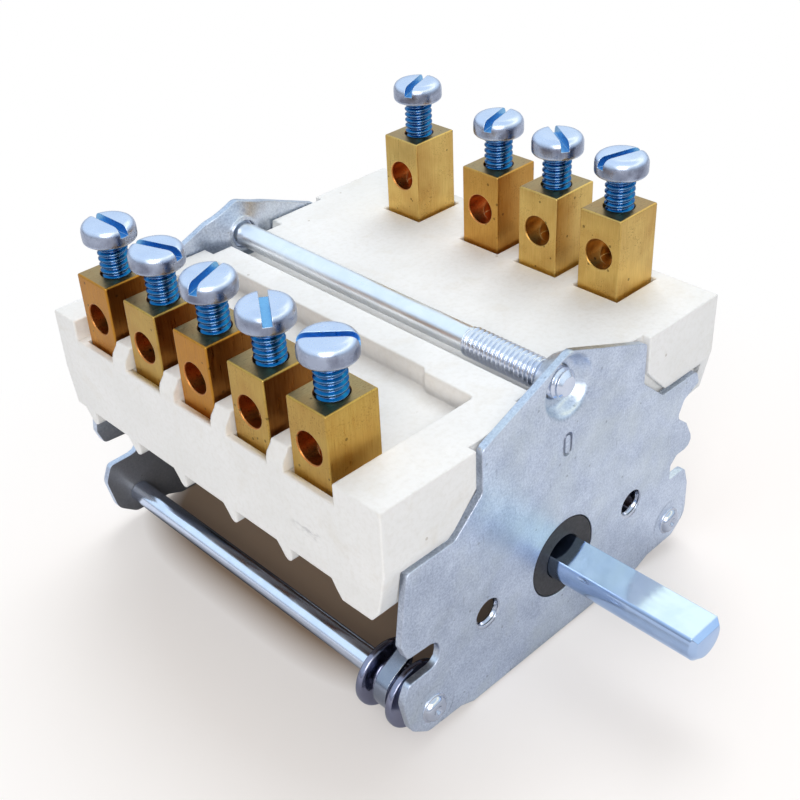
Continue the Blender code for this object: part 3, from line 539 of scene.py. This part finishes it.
def soften(shape, offset, segments=3, sharper=30):
    """Round the edges of a shape that are sharper than an angle."""
    edges = [e for e in shape.edges
             if len(e.link_faces) == 2 and e.calc_face_angle(0) > math.radians(sharper)]
    bmesh.ops.bevel(shape, geom=edges, affect="EDGES", offset=offset, segments=segments, profile=0.5,
                    material=-1, clamp_overlap=True)
    return shape


def paint(shape, slot):
    for face in shape.faces:
        face.material_index = slot
    return shape


def joined(shape, *others):
    """Gather several closed shapes in one piece."""
    for other in others:
        passing = bpy.data.meshes.new("passing")
        other.to_mesh(passing)
        other.free()
        shape.from_mesh(passing)
        bpy.data.meshes.remove(passing)
    return shape


def turned(shape, angle, axis):
    bmesh.ops.rotate(shape, cent=(0, 0, 0), matrix=Matrix.Rotation(angle, 3, axis),
                     verts=shape.verts)
    return shape


def placed(shape, place, lying=False):
    """Move a shape to its place. A lying one has its Z turned to +Y first."""
    turn = Matrix.Rotation(-math.pi / 2, 4, "X") if lying else Matrix.Identity(4)
    bmesh.ops.transform(shape, matrix=Matrix.Translation(place) @ turn, verts=shape.verts)
    return shape


def make(name, shape, *finishes):
    mesh = bpy.data.meshes.new(name)
    shape.to_mesh(mesh)
    shape.free()
    for finish in finishes:
        mesh.materials.append(finish)
    made = bpy.data.objects.new(name, mesh)
    bpy.context.scene.collection.objects.link(made)
    return made


def taken_back(piece):
    """Turn a piece into a loose shape again, to go on working on it."""
    shape = bmesh.new()
    shape.from_mesh(piece.data)
    bpy.data.objects.remove(piece)
    return shape


def carve(piece, *tools):
    """Cut tools out of a piece one by one and keep the cutters' finishes."""
    for tool in tools:
        step = piece.modifiers.new("carve", "BOOLEAN")
        step.operation, step.solver, step.object = "DIFFERENCE", "EXACT", tool
        step.material_mode = "TRANSFER"
        bpy.context.view_layer.update()
        carved = piece.evaluated_get(bpy.context.evaluated_depsgraph_get())
        result = bpy.data.meshes.new_from_object(carved)
        piece.modifiers.clear()
        piece.data = result
        bpy.data.objects.remove(tool)
    return piece


def stand_for(piece, node, sharp=35):
    """Shade the piece, and let it replace a solid and ride on its body."""
    piece.data.shade_smooth()
    piece.data.set_sharp_from_angle(angle=math.radians(sharp))
    even = piece.modifiers.new("even_shading", "WEIGHTED_NORMAL")
    even.keep_sharp = True
    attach(piece, frame["nodes"][node]["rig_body"])
    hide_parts(node)
    return piece


def merged_copy(node):
    """A solid is loose triangles, so its copy is welded and its flat faces are joined again."""
    shape = bmesh.new()
    shape.from_mesh(frame["nodes"][node].data)
    bmesh.ops.remove_doubles(shape, verts=shape.verts, dist=1e-6)
    bmesh.ops.dissolve_limit(shape, angle_limit=math.radians(0.3), verts=shape.verts,
                             edges=shape.edges)
    return shape


# %% [markdown]
# A terminal screw is a slotted cheese-head screw, nearly 4 mm thick and 0.8 mm from thread to
# thread, as counted on the real ones. The blue zinc coat shows on its thread and in its slot,
# while handling has worn the head bright. Each slot has its own direction, in degrees here, as
# they were left by hand.

# %% Terminal screws
SCREW_TURNS = {1: 92, 2: 109, 3: 22, 4: 55, 5: 135, 6: 22, 7: 16, 8: 56, 9: 165}
HEAD_HEIGHT = 2.6 * MM
HEAD_OUTLINE = [(0, 0), (3.0, 0), (3.22, 0.06), (3.36, 0.24), (3.4, 0.5), (3.4, 1.45), (3.36, 1.75),
                (3.25, 2.05), (3.06, 2.3), (2.8, 2.48), (2.5, 2.57), (2.2, 2.6), (0, 2.6)]
OVERLAP = 0.1 * MM


def slot_cutter(width, depth, top, turn):
    """A brick across a head, with its lower half in it."""
    return turned(placed(brick((9 * MM, width, 2 * depth)), Vector((0, 0, top))), turn, "Z")


def terminal_screw(number):
    node = "screw_%d" % number
    low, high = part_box(node)
    block_low, block_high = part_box("terminal_%d" % number)
    middle = (block_low + block_high) / 2
    seat = high.z - HEAD_HEIGHT
    head = make("head", lathe(scaled_to_mm(HEAD_OUTLINE), 72), HEAD_ZINC, BLUE_ZINC)
    # The slot takes the lighter blue of painted light.
    tool = slot_cutter(1.1 * MM, 1.3 * MM, HEAD_HEIGHT, math.radians(SCREW_TURNS[number]))
    head = carve(head, make("slot", tool, LIT_SLOT_ZINC))
    length = seat - low.z + OVERLAP
    shank = thread(length, 1.93 * MM, 1.58 * MM, pitch=0.8 * MM)
    blunt_end(shank, 0.7 * MM, 1.3 * MM)
    paint(placed(shank, Vector((0, 0, OVERLAP - length))), 1)
    whole = placed(joined(taken_back(head), shank), Vector((middle.x, middle.y, seat)))
    return stand_for(make("slotted_" + node, whole, HEAD_ZINC, BLUE_ZINC, LIT_SLOT_ZINC), node, 38)


for number in SCREW_TURNS:
    piece = terminal_screw(number)
print("a terminal screw has", len(piece.data.polygons), "faces")

# %% [markdown]
# A terminal is a length of square brass bar. It is bored across for the wire and tapped from the
# top for the screw. The sawn top is duller than the drawn sides. A cube with its edges rounded
# makes the bar, and two lathe shapes bore it.

# %% Brass terminals
BAR_FINISH = {1: COPPER_BRASS, 2: OLIVE_BRASS, 3: COPPER_BRASS, 4: OLIVE_BRASS, 5: OLIVE_BRASS,
              7: AMBER_BRASS}
BORE_FINISH = {8: AMBER_BRASS, 9: AMBER_BRASS}
PAINTED_SHADE_BLOCKS = (1, 2, 3, 4)
TAPPED_HOLE = [(0, 0), (2.02, 0), (2.02, 7.6), (2.3, 7.9), (0, 7.9)]
TAPPED_DEPTH, WIRE_HOLE_DEPTH = 7.7 * MM, 5.5 * MM


def brass_terminal(number):
    node = "terminal_%d" % number
    low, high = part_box(node)
    middle, size = (low + high) / 2, high - low
    bar = placed(brick(size), middle)
    soften(bar, 0.22 * MM, 3).normal_update()
    # The front faces of the first four blocks get the painted shade.
    for face in bar.faces:
        shaded_front = number in PAINTED_SHADE_BLOCKS and face.normal.y < -0.99
        face.material_index = 1 if abs(face.normal.z) > 0.99 else 3 * shaded_front
    half = size.x / 2 + 0.02 * MM
    hole, rim = 2.05 * MM, 0.14 * MM
    wire = lathe([(0, -half), (hole + rim, -half), (hole, -half + rim), (hole, half - rim),
                  (hole + rim, half), (0, half)], 56)
    placed(turned(wire, math.pi / 2, "Y"), Vector((middle.x, middle.y, high.z - WIRE_HOLE_DEPTH)))
    tapped = placed(lathe(scaled_to_mm(TAPPED_HOLE), 48),
                    Vector((middle.x, middle.y, high.z - TAPPED_DEPTH)))
    drawn = BAR_FINISH.get(number, GOLDEN_BRASS)
    bore = BORE_FINISH.get(number, BORED_BRASS)
    piece = make("brass_" + node, bar, drawn, SAWN_BRASS, bore, SHADED_FRONT_BRASS)
    piece = carve(piece, make("wire", wire, bore), make("tapped", tapped, bore))
    return stand_for(piece, node, 38)


for number in range(1, 10):
    piece = brass_terminal(number)
print("a terminal has", len(piece.data.polygons), "faces in", [m.name for m in piece.data.materials])

# %% [markdown]
# One long screw holds the two plates together. It is threaded only where it meets the front plate,
# which is tapped for it, and its countersunk head lies in the rear plate's cone.

# %% Long screw
low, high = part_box("top_tie_screw")
long_axis = Vector((0, low.y, (low.z + high.z) / 2))
reach = high.y - low.y
front_thread = thread(15.1 * MM, 1.98 * MM, 1.62 * MM)
blunt_end(front_thread, 0.75 * MM, 1.2 * MM)
SHANK_START = [(0, 14.6), (1.6, 14.6), (1.7, 15.3)]
# Each point of the head is a radius and how far it lies before the screw's rear end.
HEAD_FROM_END = [(1.7, 2.09), (3.42, 1.4), (3.5, 1.3), (3.5, 0.6), (3.3, 0.28), (2.9, 0.08), (2.4, 0),
                 (0, 0)]
plain_shank = lathe(scaled_to_mm(SHANK_START) + [(radius * MM, reach - before * MM)
                                                 for radius, before in HEAD_FROM_END], 56)
head = make("long_head", plain_shank, ROD_ZINC, BLUE_ZINC)
head = carve(head, make("slot", slot_cutter(1.2 * MM, 1.1 * MM, reach, math.pi / 2), BLUE_ZINC))
whole = placed(joined(taken_back(head), paint(front_thread, 2)), long_axis, lying=True)
piece = stand_for(make("long_screw", whole, ROD_ZINC, BLUE_ZINC, THREAD_ZINC), "top_tie_screw", 38)
print("long screw:", round(reach / MM, 1), "mm,", len(piece.data.polygons), "faces")

# %% [markdown]
# The two lower rods are stepped down at their ends, put through the plates' ears and riveted over,
# which leaves a dented dome. The outline of one end, in millimetres, serves both ends, and what
# the hammer has touched gets a finish of its own. The spools behind the front plate are turned,
# with rounded rims.

# %% Riveted rods and spools
RIVETED_END = [(0, 0.62), (0.3, 0.5), (0.62, 0.14), (0.9, 0), (1.2, 0.06), (1.48, 0.24), (1.68, 0.5),
               (1.74, 0.7), (1.99, 0.78), (2.0, 0.85), (1.22, 0.86), (1.22, 1.84), (1.5, 1.86),
               (1.6, 1.98)]
HAMMERED = 0.75
for word in ("left", "right"):
    low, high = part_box(word + "_tie_rod")
    reach = (high.y - low.y) / MM
    outline = RIVETED_END + [(radius, reach - height) for radius, height in reversed(RIVETED_END)]
    place = Vector(((low.x + high.x) / 2, low.y, (low.z + high.z) / 2))
    shape = lathe(scaled_to_mm(outline), 56)
    for face in shape.faces:
        height = face.calc_center_median().z / MM
        face.material_index = int(min(height, reach - height) < HAMMERED)
    placed(shape, place, lying=True)
    stand_for(make(word + "_riveted_rod", shape, POLISHED_ZINC, TAPPED_ZINC), word + "_tie_rod", 40)
    low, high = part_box(word + "_spool")
    rim, waist, wide, bore = (high.z - low.z) / 2, 2.6 * MM, 0.95 * MM, 1.72 * MM
    long = high.y - low.y
    slope = wide + 0.3 * MM
    outline = [(bore, 0), (rim, 0), (rim, wide), (waist, slope), (waist, long - slope),
               (rim, long - wide), (rim, long), (bore, long)]
    shape = soften(lathe(outline, 72, closed=True), 0.28 * MM, 3, 40)
    placed(shape, Vector(((low.x + high.x) / 2, low.y, (low.z + high.z) / 2)), lying=True)
    piece = stand_for(make(word + "_turned_spool", shape, SPOOL_ZINC), word + "_spool", 40)
print("spool rim, mm:", round(2 * rim / MM, 2), "rod, mm:", round(reach, 1))

# %% [markdown]
# The bearing rings are moulded in a black resin. They sit flush in the plates with a flange
# behind, and fit the shaft closely.

# %% Bearing rings
ring_low, ring_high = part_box("front_bushing")
shaft_axis = Vector((0, 0, (ring_low.z + ring_high.z) / 2))
RING_OUTLINE = [(3.07, 0.0), (5.58, 0.0), (5.62, 0.06), (5.62, 1.25), (7.0, 1.25), (7.0, 2.35),
                (4.95, 2.35), (4.95, 3.35), (3.07, 3.35)]
for word, start, way in (("front", ring_low.y, 1), ("rear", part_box("rear_bushing")[1].y, -1)):
    outline = [(radius * MM, height * MM * way) for radius, height in RING_OUTLINE]
    shape = soften(lathe(outline, 80, closed=True), 0.08 * MM, 2, 50)
    placed(shape, Vector((0, start, shaft_axis.z)), lying=True)
    stand_for(make(word + "_bearing_ring", shape, BLACK_RESIN), word + "_bushing", 40)
print("bearing rings stand at z =", round(shaft_axis.z / MM, 2), "mm")

# %% [markdown]
# The shaft is a drawn 6 mm rod. A flat is milled along it to take a knob, and the cams inside use
# the same flat. The tip has a chamfer all round and over the flat's end. The flat is cut with a
# Boolean, and its long edges are then rounded a little, as milling leaves them.

# %% Shaft
SHAFT_RADIUS, FLAT_HEIGHT = 3.0 * MM, 1.6 * MM
FRONT_CHAMFER, REAR_CHAMFER = 0.7 * MM, 0.3 * MM
MILL_SIZE, WEDGE_SIZE = 8 * MM, 3 * MM
low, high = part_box("shaft")
reach = high.y - low.y
rod = lathe([(0, 0), (SHAFT_RADIUS - FRONT_CHAMFER, 0), (SHAFT_RADIUS, FRONT_CHAMFER),
             (SHAFT_RADIUS, reach - REAR_CHAMFER), (SHAFT_RADIUS - REAR_CHAMFER, reach), (0, reach)], 96)
placed(rod, Vector((0, low.y, shaft_axis.z)), lying=True)
flat_z = shaft_axis.z + FLAT_HEIGHT
mill = placed(brick((MILL_SIZE, reach - 3 * MM, MILL_SIZE / 2)),
              Vector((0, low.y + reach / 2 - 2.5 * MM, flat_z + MILL_SIZE / 4)))
wedge = turned(brick((MILL_SIZE, WEDGE_SIZE, WEDGE_SIZE)), math.radians(45), "X")
off_tip = WEDGE_SIZE / 2 / math.sqrt(2)
placed(wedge, Vector((0, low.y + FRONT_CHAMFER - off_tip, flat_z + off_tip)))
shaft = carve(make("flatted_shaft", rod, SHAFT_ZINC), make("flat", mill, SHAFT_ZINC),
              make("slant", wedge, SHAFT_ZINC))
shape = bmesh.new()
shape.from_mesh(shaft.data)
soften(shape, 0.1 * MM, 2, 28).to_mesh(shaft.data)
shape.free()
stand_for(shaft, "shaft", 30)
print("shaft:", round(reach / MM, 1), "mm long,",
      round((SHAFT_RADIUS + FLAT_HEIGHT) / MM, 1), "mm across its flat")

# %% [markdown]
# The plates are blanked from sheet, so their edges are slightly rounded on the side the punch came
# from. The front one is tapped twice for the panel screws and stamped with the digit of the off
# position. The solids already have the outline. A welded copy gets rounded edges, smooth bores,
# real threads, the stamped digit and the ring that riveting left on the ears. A profile's heights
# are counted from the plate's outer face, in millimetres, so a negative one lies outside it.

# %% Helpers for the plates
def stadium(half_width, straight, depth):
    """A long rounded slab that stands up in XZ, for stamping."""
    shape = bmesh.new()
    bmesh.ops.create_circle(shape, cap_ends=True, segments=40, radius=half_width)
    for point in shape.verts:
        point.co.y += math.copysign(straight, point.co.y) if abs(point.co.y) > 1e-7 else 0
    out = bmesh.ops.extrude_face_region(shape, geom=shape.faces[:])["geom"]
    lifted = [part for part in out if isinstance(part, bmesh.types.BMVert)]
    bmesh.ops.translate(shape, vec=(0, 0, depth), verts=lifted)
    bmesh.ops.recalc_face_normals(shape, faces=shape.faces)
    return turned(shape, math.pi / 2, "X")


def bored(profile, place, way=1, steps=80):
    """A lathe-shaped cutter that lies along Y. With -1 for its way it works from behind."""
    shape = lathe([(radius * MM, height * MM * way) for radius, height in profile], steps)
    return make("bore", placed(shape, place, lying=True), PLATE_ZINC)


def plate_blank(name, node, *finishes):
    return make(name, soften(merged_copy(node), 0.1 * MM, 2, 40), *finishes)


front_face, rear_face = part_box("front_plate")[0].y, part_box("rear_plate")[1].y
axis_height, tie_height = shaft_axis.z, long_axis.z
print("outside of the plates, mm:", round((rear_face - front_face) / MM, 2))

# %% Front plate
MOUNT_X = 14.0 * MM
FRONT_HOLLOW = [(0, -1), (4.8, -1), (4.8, 0.0), (4.48, 0.05), (4.18, 0.17), (3.9, 0.4), (3.64, 0.85),
                (3.42, 1.38), (3.15, 1.75), (2.8, 1.92), (2.3, 1.96), (2.12, 2.1), (2.12, 4), (0, 4)]
RING_HOLE = [(0, -1), (5.9, -1), (5.76, 0.1), (5.76, 0.9), (5.9, 2), (0, 2)]
COUNTERSINK = [(0, -0.2), (2.35, -0.2), (1.9, 0.22), (0, 0.22)]
EAR_MARK = [(3.22, -0.1), (3.55, -0.1), (3.44, 0.05), (3.33, 0.05)]
DIGIT_OUTER, DIGIT_INNER, DIGIT_STRAIGHT = 0.82 * MM, 0.44 * MM, 0.85 * MM
DIGIT_DEPTH, DIGIT_ABOVE_AXIS = 0.18 * MM, 17.4 * MM
front = plate_blank("pressed_front_plate", "front_plate", PLATE_ZINC, TAPPED_ZINC)
tools = [bored(FRONT_HOLLOW, Vector((0, front_face, tie_height))),
         bored(RING_HOLE, Vector((0, front_face, axis_height)), steps=120)]
for side in (-1, 1):
    mount = Vector((side * MOUNT_X, front_face, axis_height))
    tap = thread(1.9 * MM, 2.0 * MM, 1.72 * MM, steps=40)
    placed(tap, Vector((mount.x, front_face - 0.4 * MM, mount.z)), lying=True)
    cone = placed(lathe(scaled_to_mm(COUNTERSINK), 56), mount, lying=True)
    tools += [make("tap", tap, TAPPED_ZINC), make("countersink", cone, TAPPED_ZINC)]
# The digit's cut faces take the darker tone of painted shade.
digit = make("digit", stadium(DIGIT_OUTER, DIGIT_STRAIGHT, 0.5 * MM), DIGIT_SHADE_ZINC)
carve(digit, make("middle", stadium(DIGIT_INNER, DIGIT_STRAIGHT, 2 * MM), DIGIT_SHADE_ZINC))
stamp_place = Vector((0, front_face + DIGIT_DEPTH, axis_height + DIGIT_ABOVE_AXIS))
digit.data.transform(Matrix.Translation(stamp_place))
tools.append(digit)
for word in ("left", "right"):
    low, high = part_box(word + "_tie_rod")
    mark = lathe(scaled_to_mm(EAR_MARK), 72, closed=True)
    placed(mark, Vector(((low.x + high.x) / 2, front_face, (low.z + high.z) / 2)), lying=True)
    tools.append(make("mark", mark, PLATE_ZINC))
carve(front, *tools)
stand_for(front, "front_plate", 32)
print("front plate:", len(front.data.polygons), "faces")

# %% [markdown]
# The rear plate has no tapped holes and no digit. Its hollow is a wider cone for the long screw's
# head. The cutters are the same lathe shapes, turned round to work from behind.

# %% Rear plate
REAR_HOLLOW = [(0, -1), (6.0, -1), (6.0, 0.0), (5.6, 0.14), (5.2, 0.38), (3.9, 0.9), (2.6, 1.45),
               (2.2, 1.62), (2.06, 1.8), (2.06, 4), (0, 4)]
PLAIN_HOLE = [(0, -1), (5.76, -1), (5.76, 2), (0, 2)]
rear = plate_blank("pressed_rear_plate", "rear_plate", PAINTED_SHADE_ZINC)
carve(rear, bored(REAR_HOLLOW, Vector((0, rear_face, tie_height)), -1),
      bored(PLAIN_HOLE, Vector((0, rear_face, axis_height)), -1, 120))
stand_for(rear, "rear_plate", 32)
print("rear plate:", len(rear.data.polygons), "faces")

# %% [markdown]
# The ceramic body is pressed in a die and fired, so every outer edge is rounded. Its solid has the
# whole form. A welded copy is taken, and the edges that show, round the top, the corner blocks and
# the walls' ends, are rounded with a bevel. The rest keeps the rounding that the material gives it.

# %% Ceramic body
NEAR, UPPER_PART = 0.01 * MM, 8.0 * MM
shape = merged_copy("housing")
low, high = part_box("housing")


def shows(edge):
    """Convex edges on the body's outside, well above the shaft."""
    if len(edge.link_faces) != 2 or edge.calc_face_angle_signed(0) < math.radians(25):
        return False
    ends = [v.co for v in edge.verts]
    on_top = all(abs(p.z - high.z) < NEAR for p in ends)
    on_side = all(abs(abs(p.x) - high.x) < NEAR for p in ends)
    on_end = all(min(abs(p.y - low.y), abs(p.y - high.y)) < NEAR for p in ends)
    return (on_top or on_side or on_end) and min(p.z for p in ends) > axis_height + UPPER_PART


picked = [e for e in shape.edges if shows(e)]
shortest = min(e.calc_length() for e in picked)
print("rounding", len(picked), "edges, the shortest", round(shortest / MM, 3), "mm")
bmesh.ops.bevel(shape, geom=picked, affect="EDGES", offset=0.5 * MM, segments=4, profile=0.5,
                material=-1, clamp_overlap=True)
stand_for(make("ceramic_body", shape, CERAMIC), "housing", 32)

# %% [markdown]
# Cams, pins, contacts and springs are seen from below and from the side. Their solids are right,
# so each gets a welded copy with its edges broken, as moulding, pressing and tumbling leave them.

# %% Inner pieces
# A word for the new piece's name, and how far its edges are rounded, in millimetres.
INNER = {"cam": ("resin", 0.16), "follower": ("pin", 0.15), "contact_spring": ("strip", 0.07),
         "fixed_contact": ("strip", 0.08), "detent_wheel": ("steel", 0.12),
         "left_detent_strip": ("blued", 0.07), "right_detent_strip": ("blued", 0.07)}
for node in sorted(frame["nodes"]):
    if kind_of(node) in INNER:
        word, rounding = INNER[kind_of(node)]
        shape = soften(merged_copy(node), rounding * MM, 2, 35)
        piece = stand_for(make(word + "_" + node, shape, FINISHES[kind_of(node)]), node, 32)
print("last inner piece:", piece.name, len(piece.data.polygons), "faces")

# %% [markdown]
# A small studio: a sheet of pale paper, a pale room all round, and two soft lamps. To the camera
# the paper fades to white, but a warm dark shadow is painted on it under the switch, where little
# light gets in. Other rays see a wider and darker painted shadow there, which metal mirrors,
# because it looks in under the switch from low down. From below, the paper is clear, so that the
# underside can be looked at.

# %% Floor
def patch(tree, place, middle_y, half_x, half_y, round_x, round_y):
    """A soft patch of the floor under the switch, for a painted shadow: 0 inside it and 1 outside."""
    off_middle = maths(tree, "SUBTRACT", place["Y"], middle_y)
    across = maths(tree, "DIVIDE", maths(tree, "ABSOLUTE", place["X"]), half_x)
    along = maths(tree, "DIVIDE", maths(tree, "ABSOLUTE", off_middle), half_y)
    corner = maths(tree, "ADD", maths(tree, "POWER", across, round_x),
                   maths(tree, "POWER", along, round_y))
    return spread(tree, corner, 0.7, 1.3)


sheet = bmesh.new()
bmesh.ops.create_grid(sheet, x_segments=1, y_segments=1, size=4.0)
FLOOR, tree, shader = new_material("floor_paper", 0.9, 0.0)
for_camera = add(tree, "ShaderNodeLightPath").outputs["Is Camera Ray"]
where = add(tree, "ShaderNodeTexCoord").outputs["Object"]
place = add(tree, "ShaderNodeSeparateXYZ", {0: where}).outputs
near_painted_shadow = patch(tree, place, 14 * MM, 26 * MM, 31 * MM, 3.0, 4.0)
wide_painted_shadow = patch(tree, place, 19 * MM, 28 * MM, 38 * MM, 3.0, 3.0)
# Painted shadow: a dark patch under the switch for every ray but the camera's.
mirrored = blend_colours(tree, wide_painted_shadow, screen(60, 58, 60), screen(228, 227, 228))
# Painted shadow: a warm dark patch under the switch, as the camera sees it.
looked_at = blend_colours(tree, near_painted_shadow, screen(172, 148, 126), screen(251, 241, 233))
tree.links.new(blend_colours(tree, for_camera, mirrored, looked_at), shader.inputs["Base Color"])
white = add(tree, "ShaderNodeEmission", {"Color": (1.0, 1.0, 1.0, 1.0), "Strength": 1.0})
away = add(tree, "ShaderNodeVectorMath", {0: where}, operation="LENGTH").outputs["Value"]
outside = maths(tree, "MULTIPLY", for_camera, near_painted_shadow)
glow = maths(tree, "MULTIPLY", outside, spread(tree, away, 40 * MM, 90 * MM, 0.28, 1.0))
paper = add(tree, "ShaderNodeMixShader", {0: glow, 1: shader.outputs[0], 2: white.outputs[0]})
back = add(tree, "ShaderNodeNewGeometry").outputs["Backfacing"]
clear = add(tree, "ShaderNodeBsdfTransparent")
surface = add(tree, "ShaderNodeMixShader", {0: maths(tree, "MULTIPLY", for_camera, back),
                                            1: paper.outputs[0], 2: clear.outputs[0]})
tree.links.new(surface.outputs[0], tree.nodes["Material Output"].inputs["Surface"])
floor = make("floor", sheet, FLOOR)
floor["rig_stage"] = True
print("floor:", [round(v, 1) for v in floor.dimensions], "m")

# %% [markdown]
# The room lights the switch at about half strength, so that colours come out as they are written,
# but camera and metal see it in full. Metal sees it darker towards the horizon, and sees one tall
# bright pane in it, whose near edge makes the clear step along the shaft's flat.

# %% World
AMBIENT = (0.9, 0.94, 1.0, 1.0)
PANE_LIGHT = (1.45, 1.45, 1.15, 1.0)
PANE_EDGE = (0.616, -0.788, 0.0)
PANE_FOOT, PANE_TOP = (0.52, 0.57), (0.78, 0.72)
world = bpy.data.worlds.new("studio")
world.use_nodes = True
bpy.context.scene.world = world
tree = world.node_tree
backdrop = tree.nodes["Background"]
rays = add(tree, "ShaderNodeLightPath").outputs
way = add(tree, "ShaderNodeTexCoord").outputs["Generated"]
rise = add(tree, "ShaderNodeSeparateXYZ", {0: way}).outputs["Z"]
room = blend_colours(tree, spread(tree, rise, 0.0, 0.26), screen(150, 152, 160), screen(222, 240, 255))
beside = add(tree, "ShaderNodeVectorMath", {0: way, 1: PANE_EDGE}, operation="DOT_PRODUCT")
tall = maths(tree, "MULTIPLY", spread(tree, rise, *PANE_FOOT), spread(tree, rise, *PANE_TOP))
pane = maths(tree, "MULTIPLY", spread(tree, beside.outputs["Value"], -0.004, 0.012), tall)
seen_by_metal = blend_colours(tree, pane, room, PANE_LIGHT)
shown = blend_colours(tree, rays["Is Glossy Ray"], AMBIENT, seen_by_metal)
tree.links.new(shown, backdrop.inputs["Color"])
sharp = maths(tree, "MAXIMUM", rays["Is Glossy Ray"], rays["Is Transmission Ray"])
direct = maths(tree, "MAXIMUM", rays["Is Camera Ray"], sharp)
tree.links.new(spread(tree, direct, 0.0, 1.0, 0.52, 1.15), backdrop.inputs["Strength"])
print("the world has", len(tree.nodes), "nodes")

# %% [markdown]
# The larger lamp stands for a window high up behind the switch on the right. It is left out of
# reflections, where it would show as a square. The smaller one fills the front left side.

# %% Lamps
def lamp(name, place, aim, size, watts, colour):
    light = bpy.data.lights.new(name, "AREA")
    light.energy = watts
    light.size = size
    light.color = colour
    made = bpy.data.objects.new(name, light)
    made.location = Vector(place)
    made.rotation_euler = (Vector(aim) - Vector(place)).to_track_quat("-Z", "Y").to_euler()
    bpy.context.scene.collection.objects.link(made)
    return made


window = lamp("window", (0.4, 0.25, 0.75), (0, 0, 0.02), 0.55, 4.5, (0.86, 0.93, 1.0))
window.visible_glossy = False
lamp("fill", (-0.48, -0.42, 0.42), (0, 0, 0.02), 0.45, 2.6, (1.0, 0.96, 0.91))
bpy.context.scene.view_settings.view_transform = "Standard"
print("lamps:", [light.name for light in bpy.data.lights])

# %% Write the sizes and finish
low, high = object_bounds()
print("shown, mm:", [round(v / MM, 1) for v in high - low])
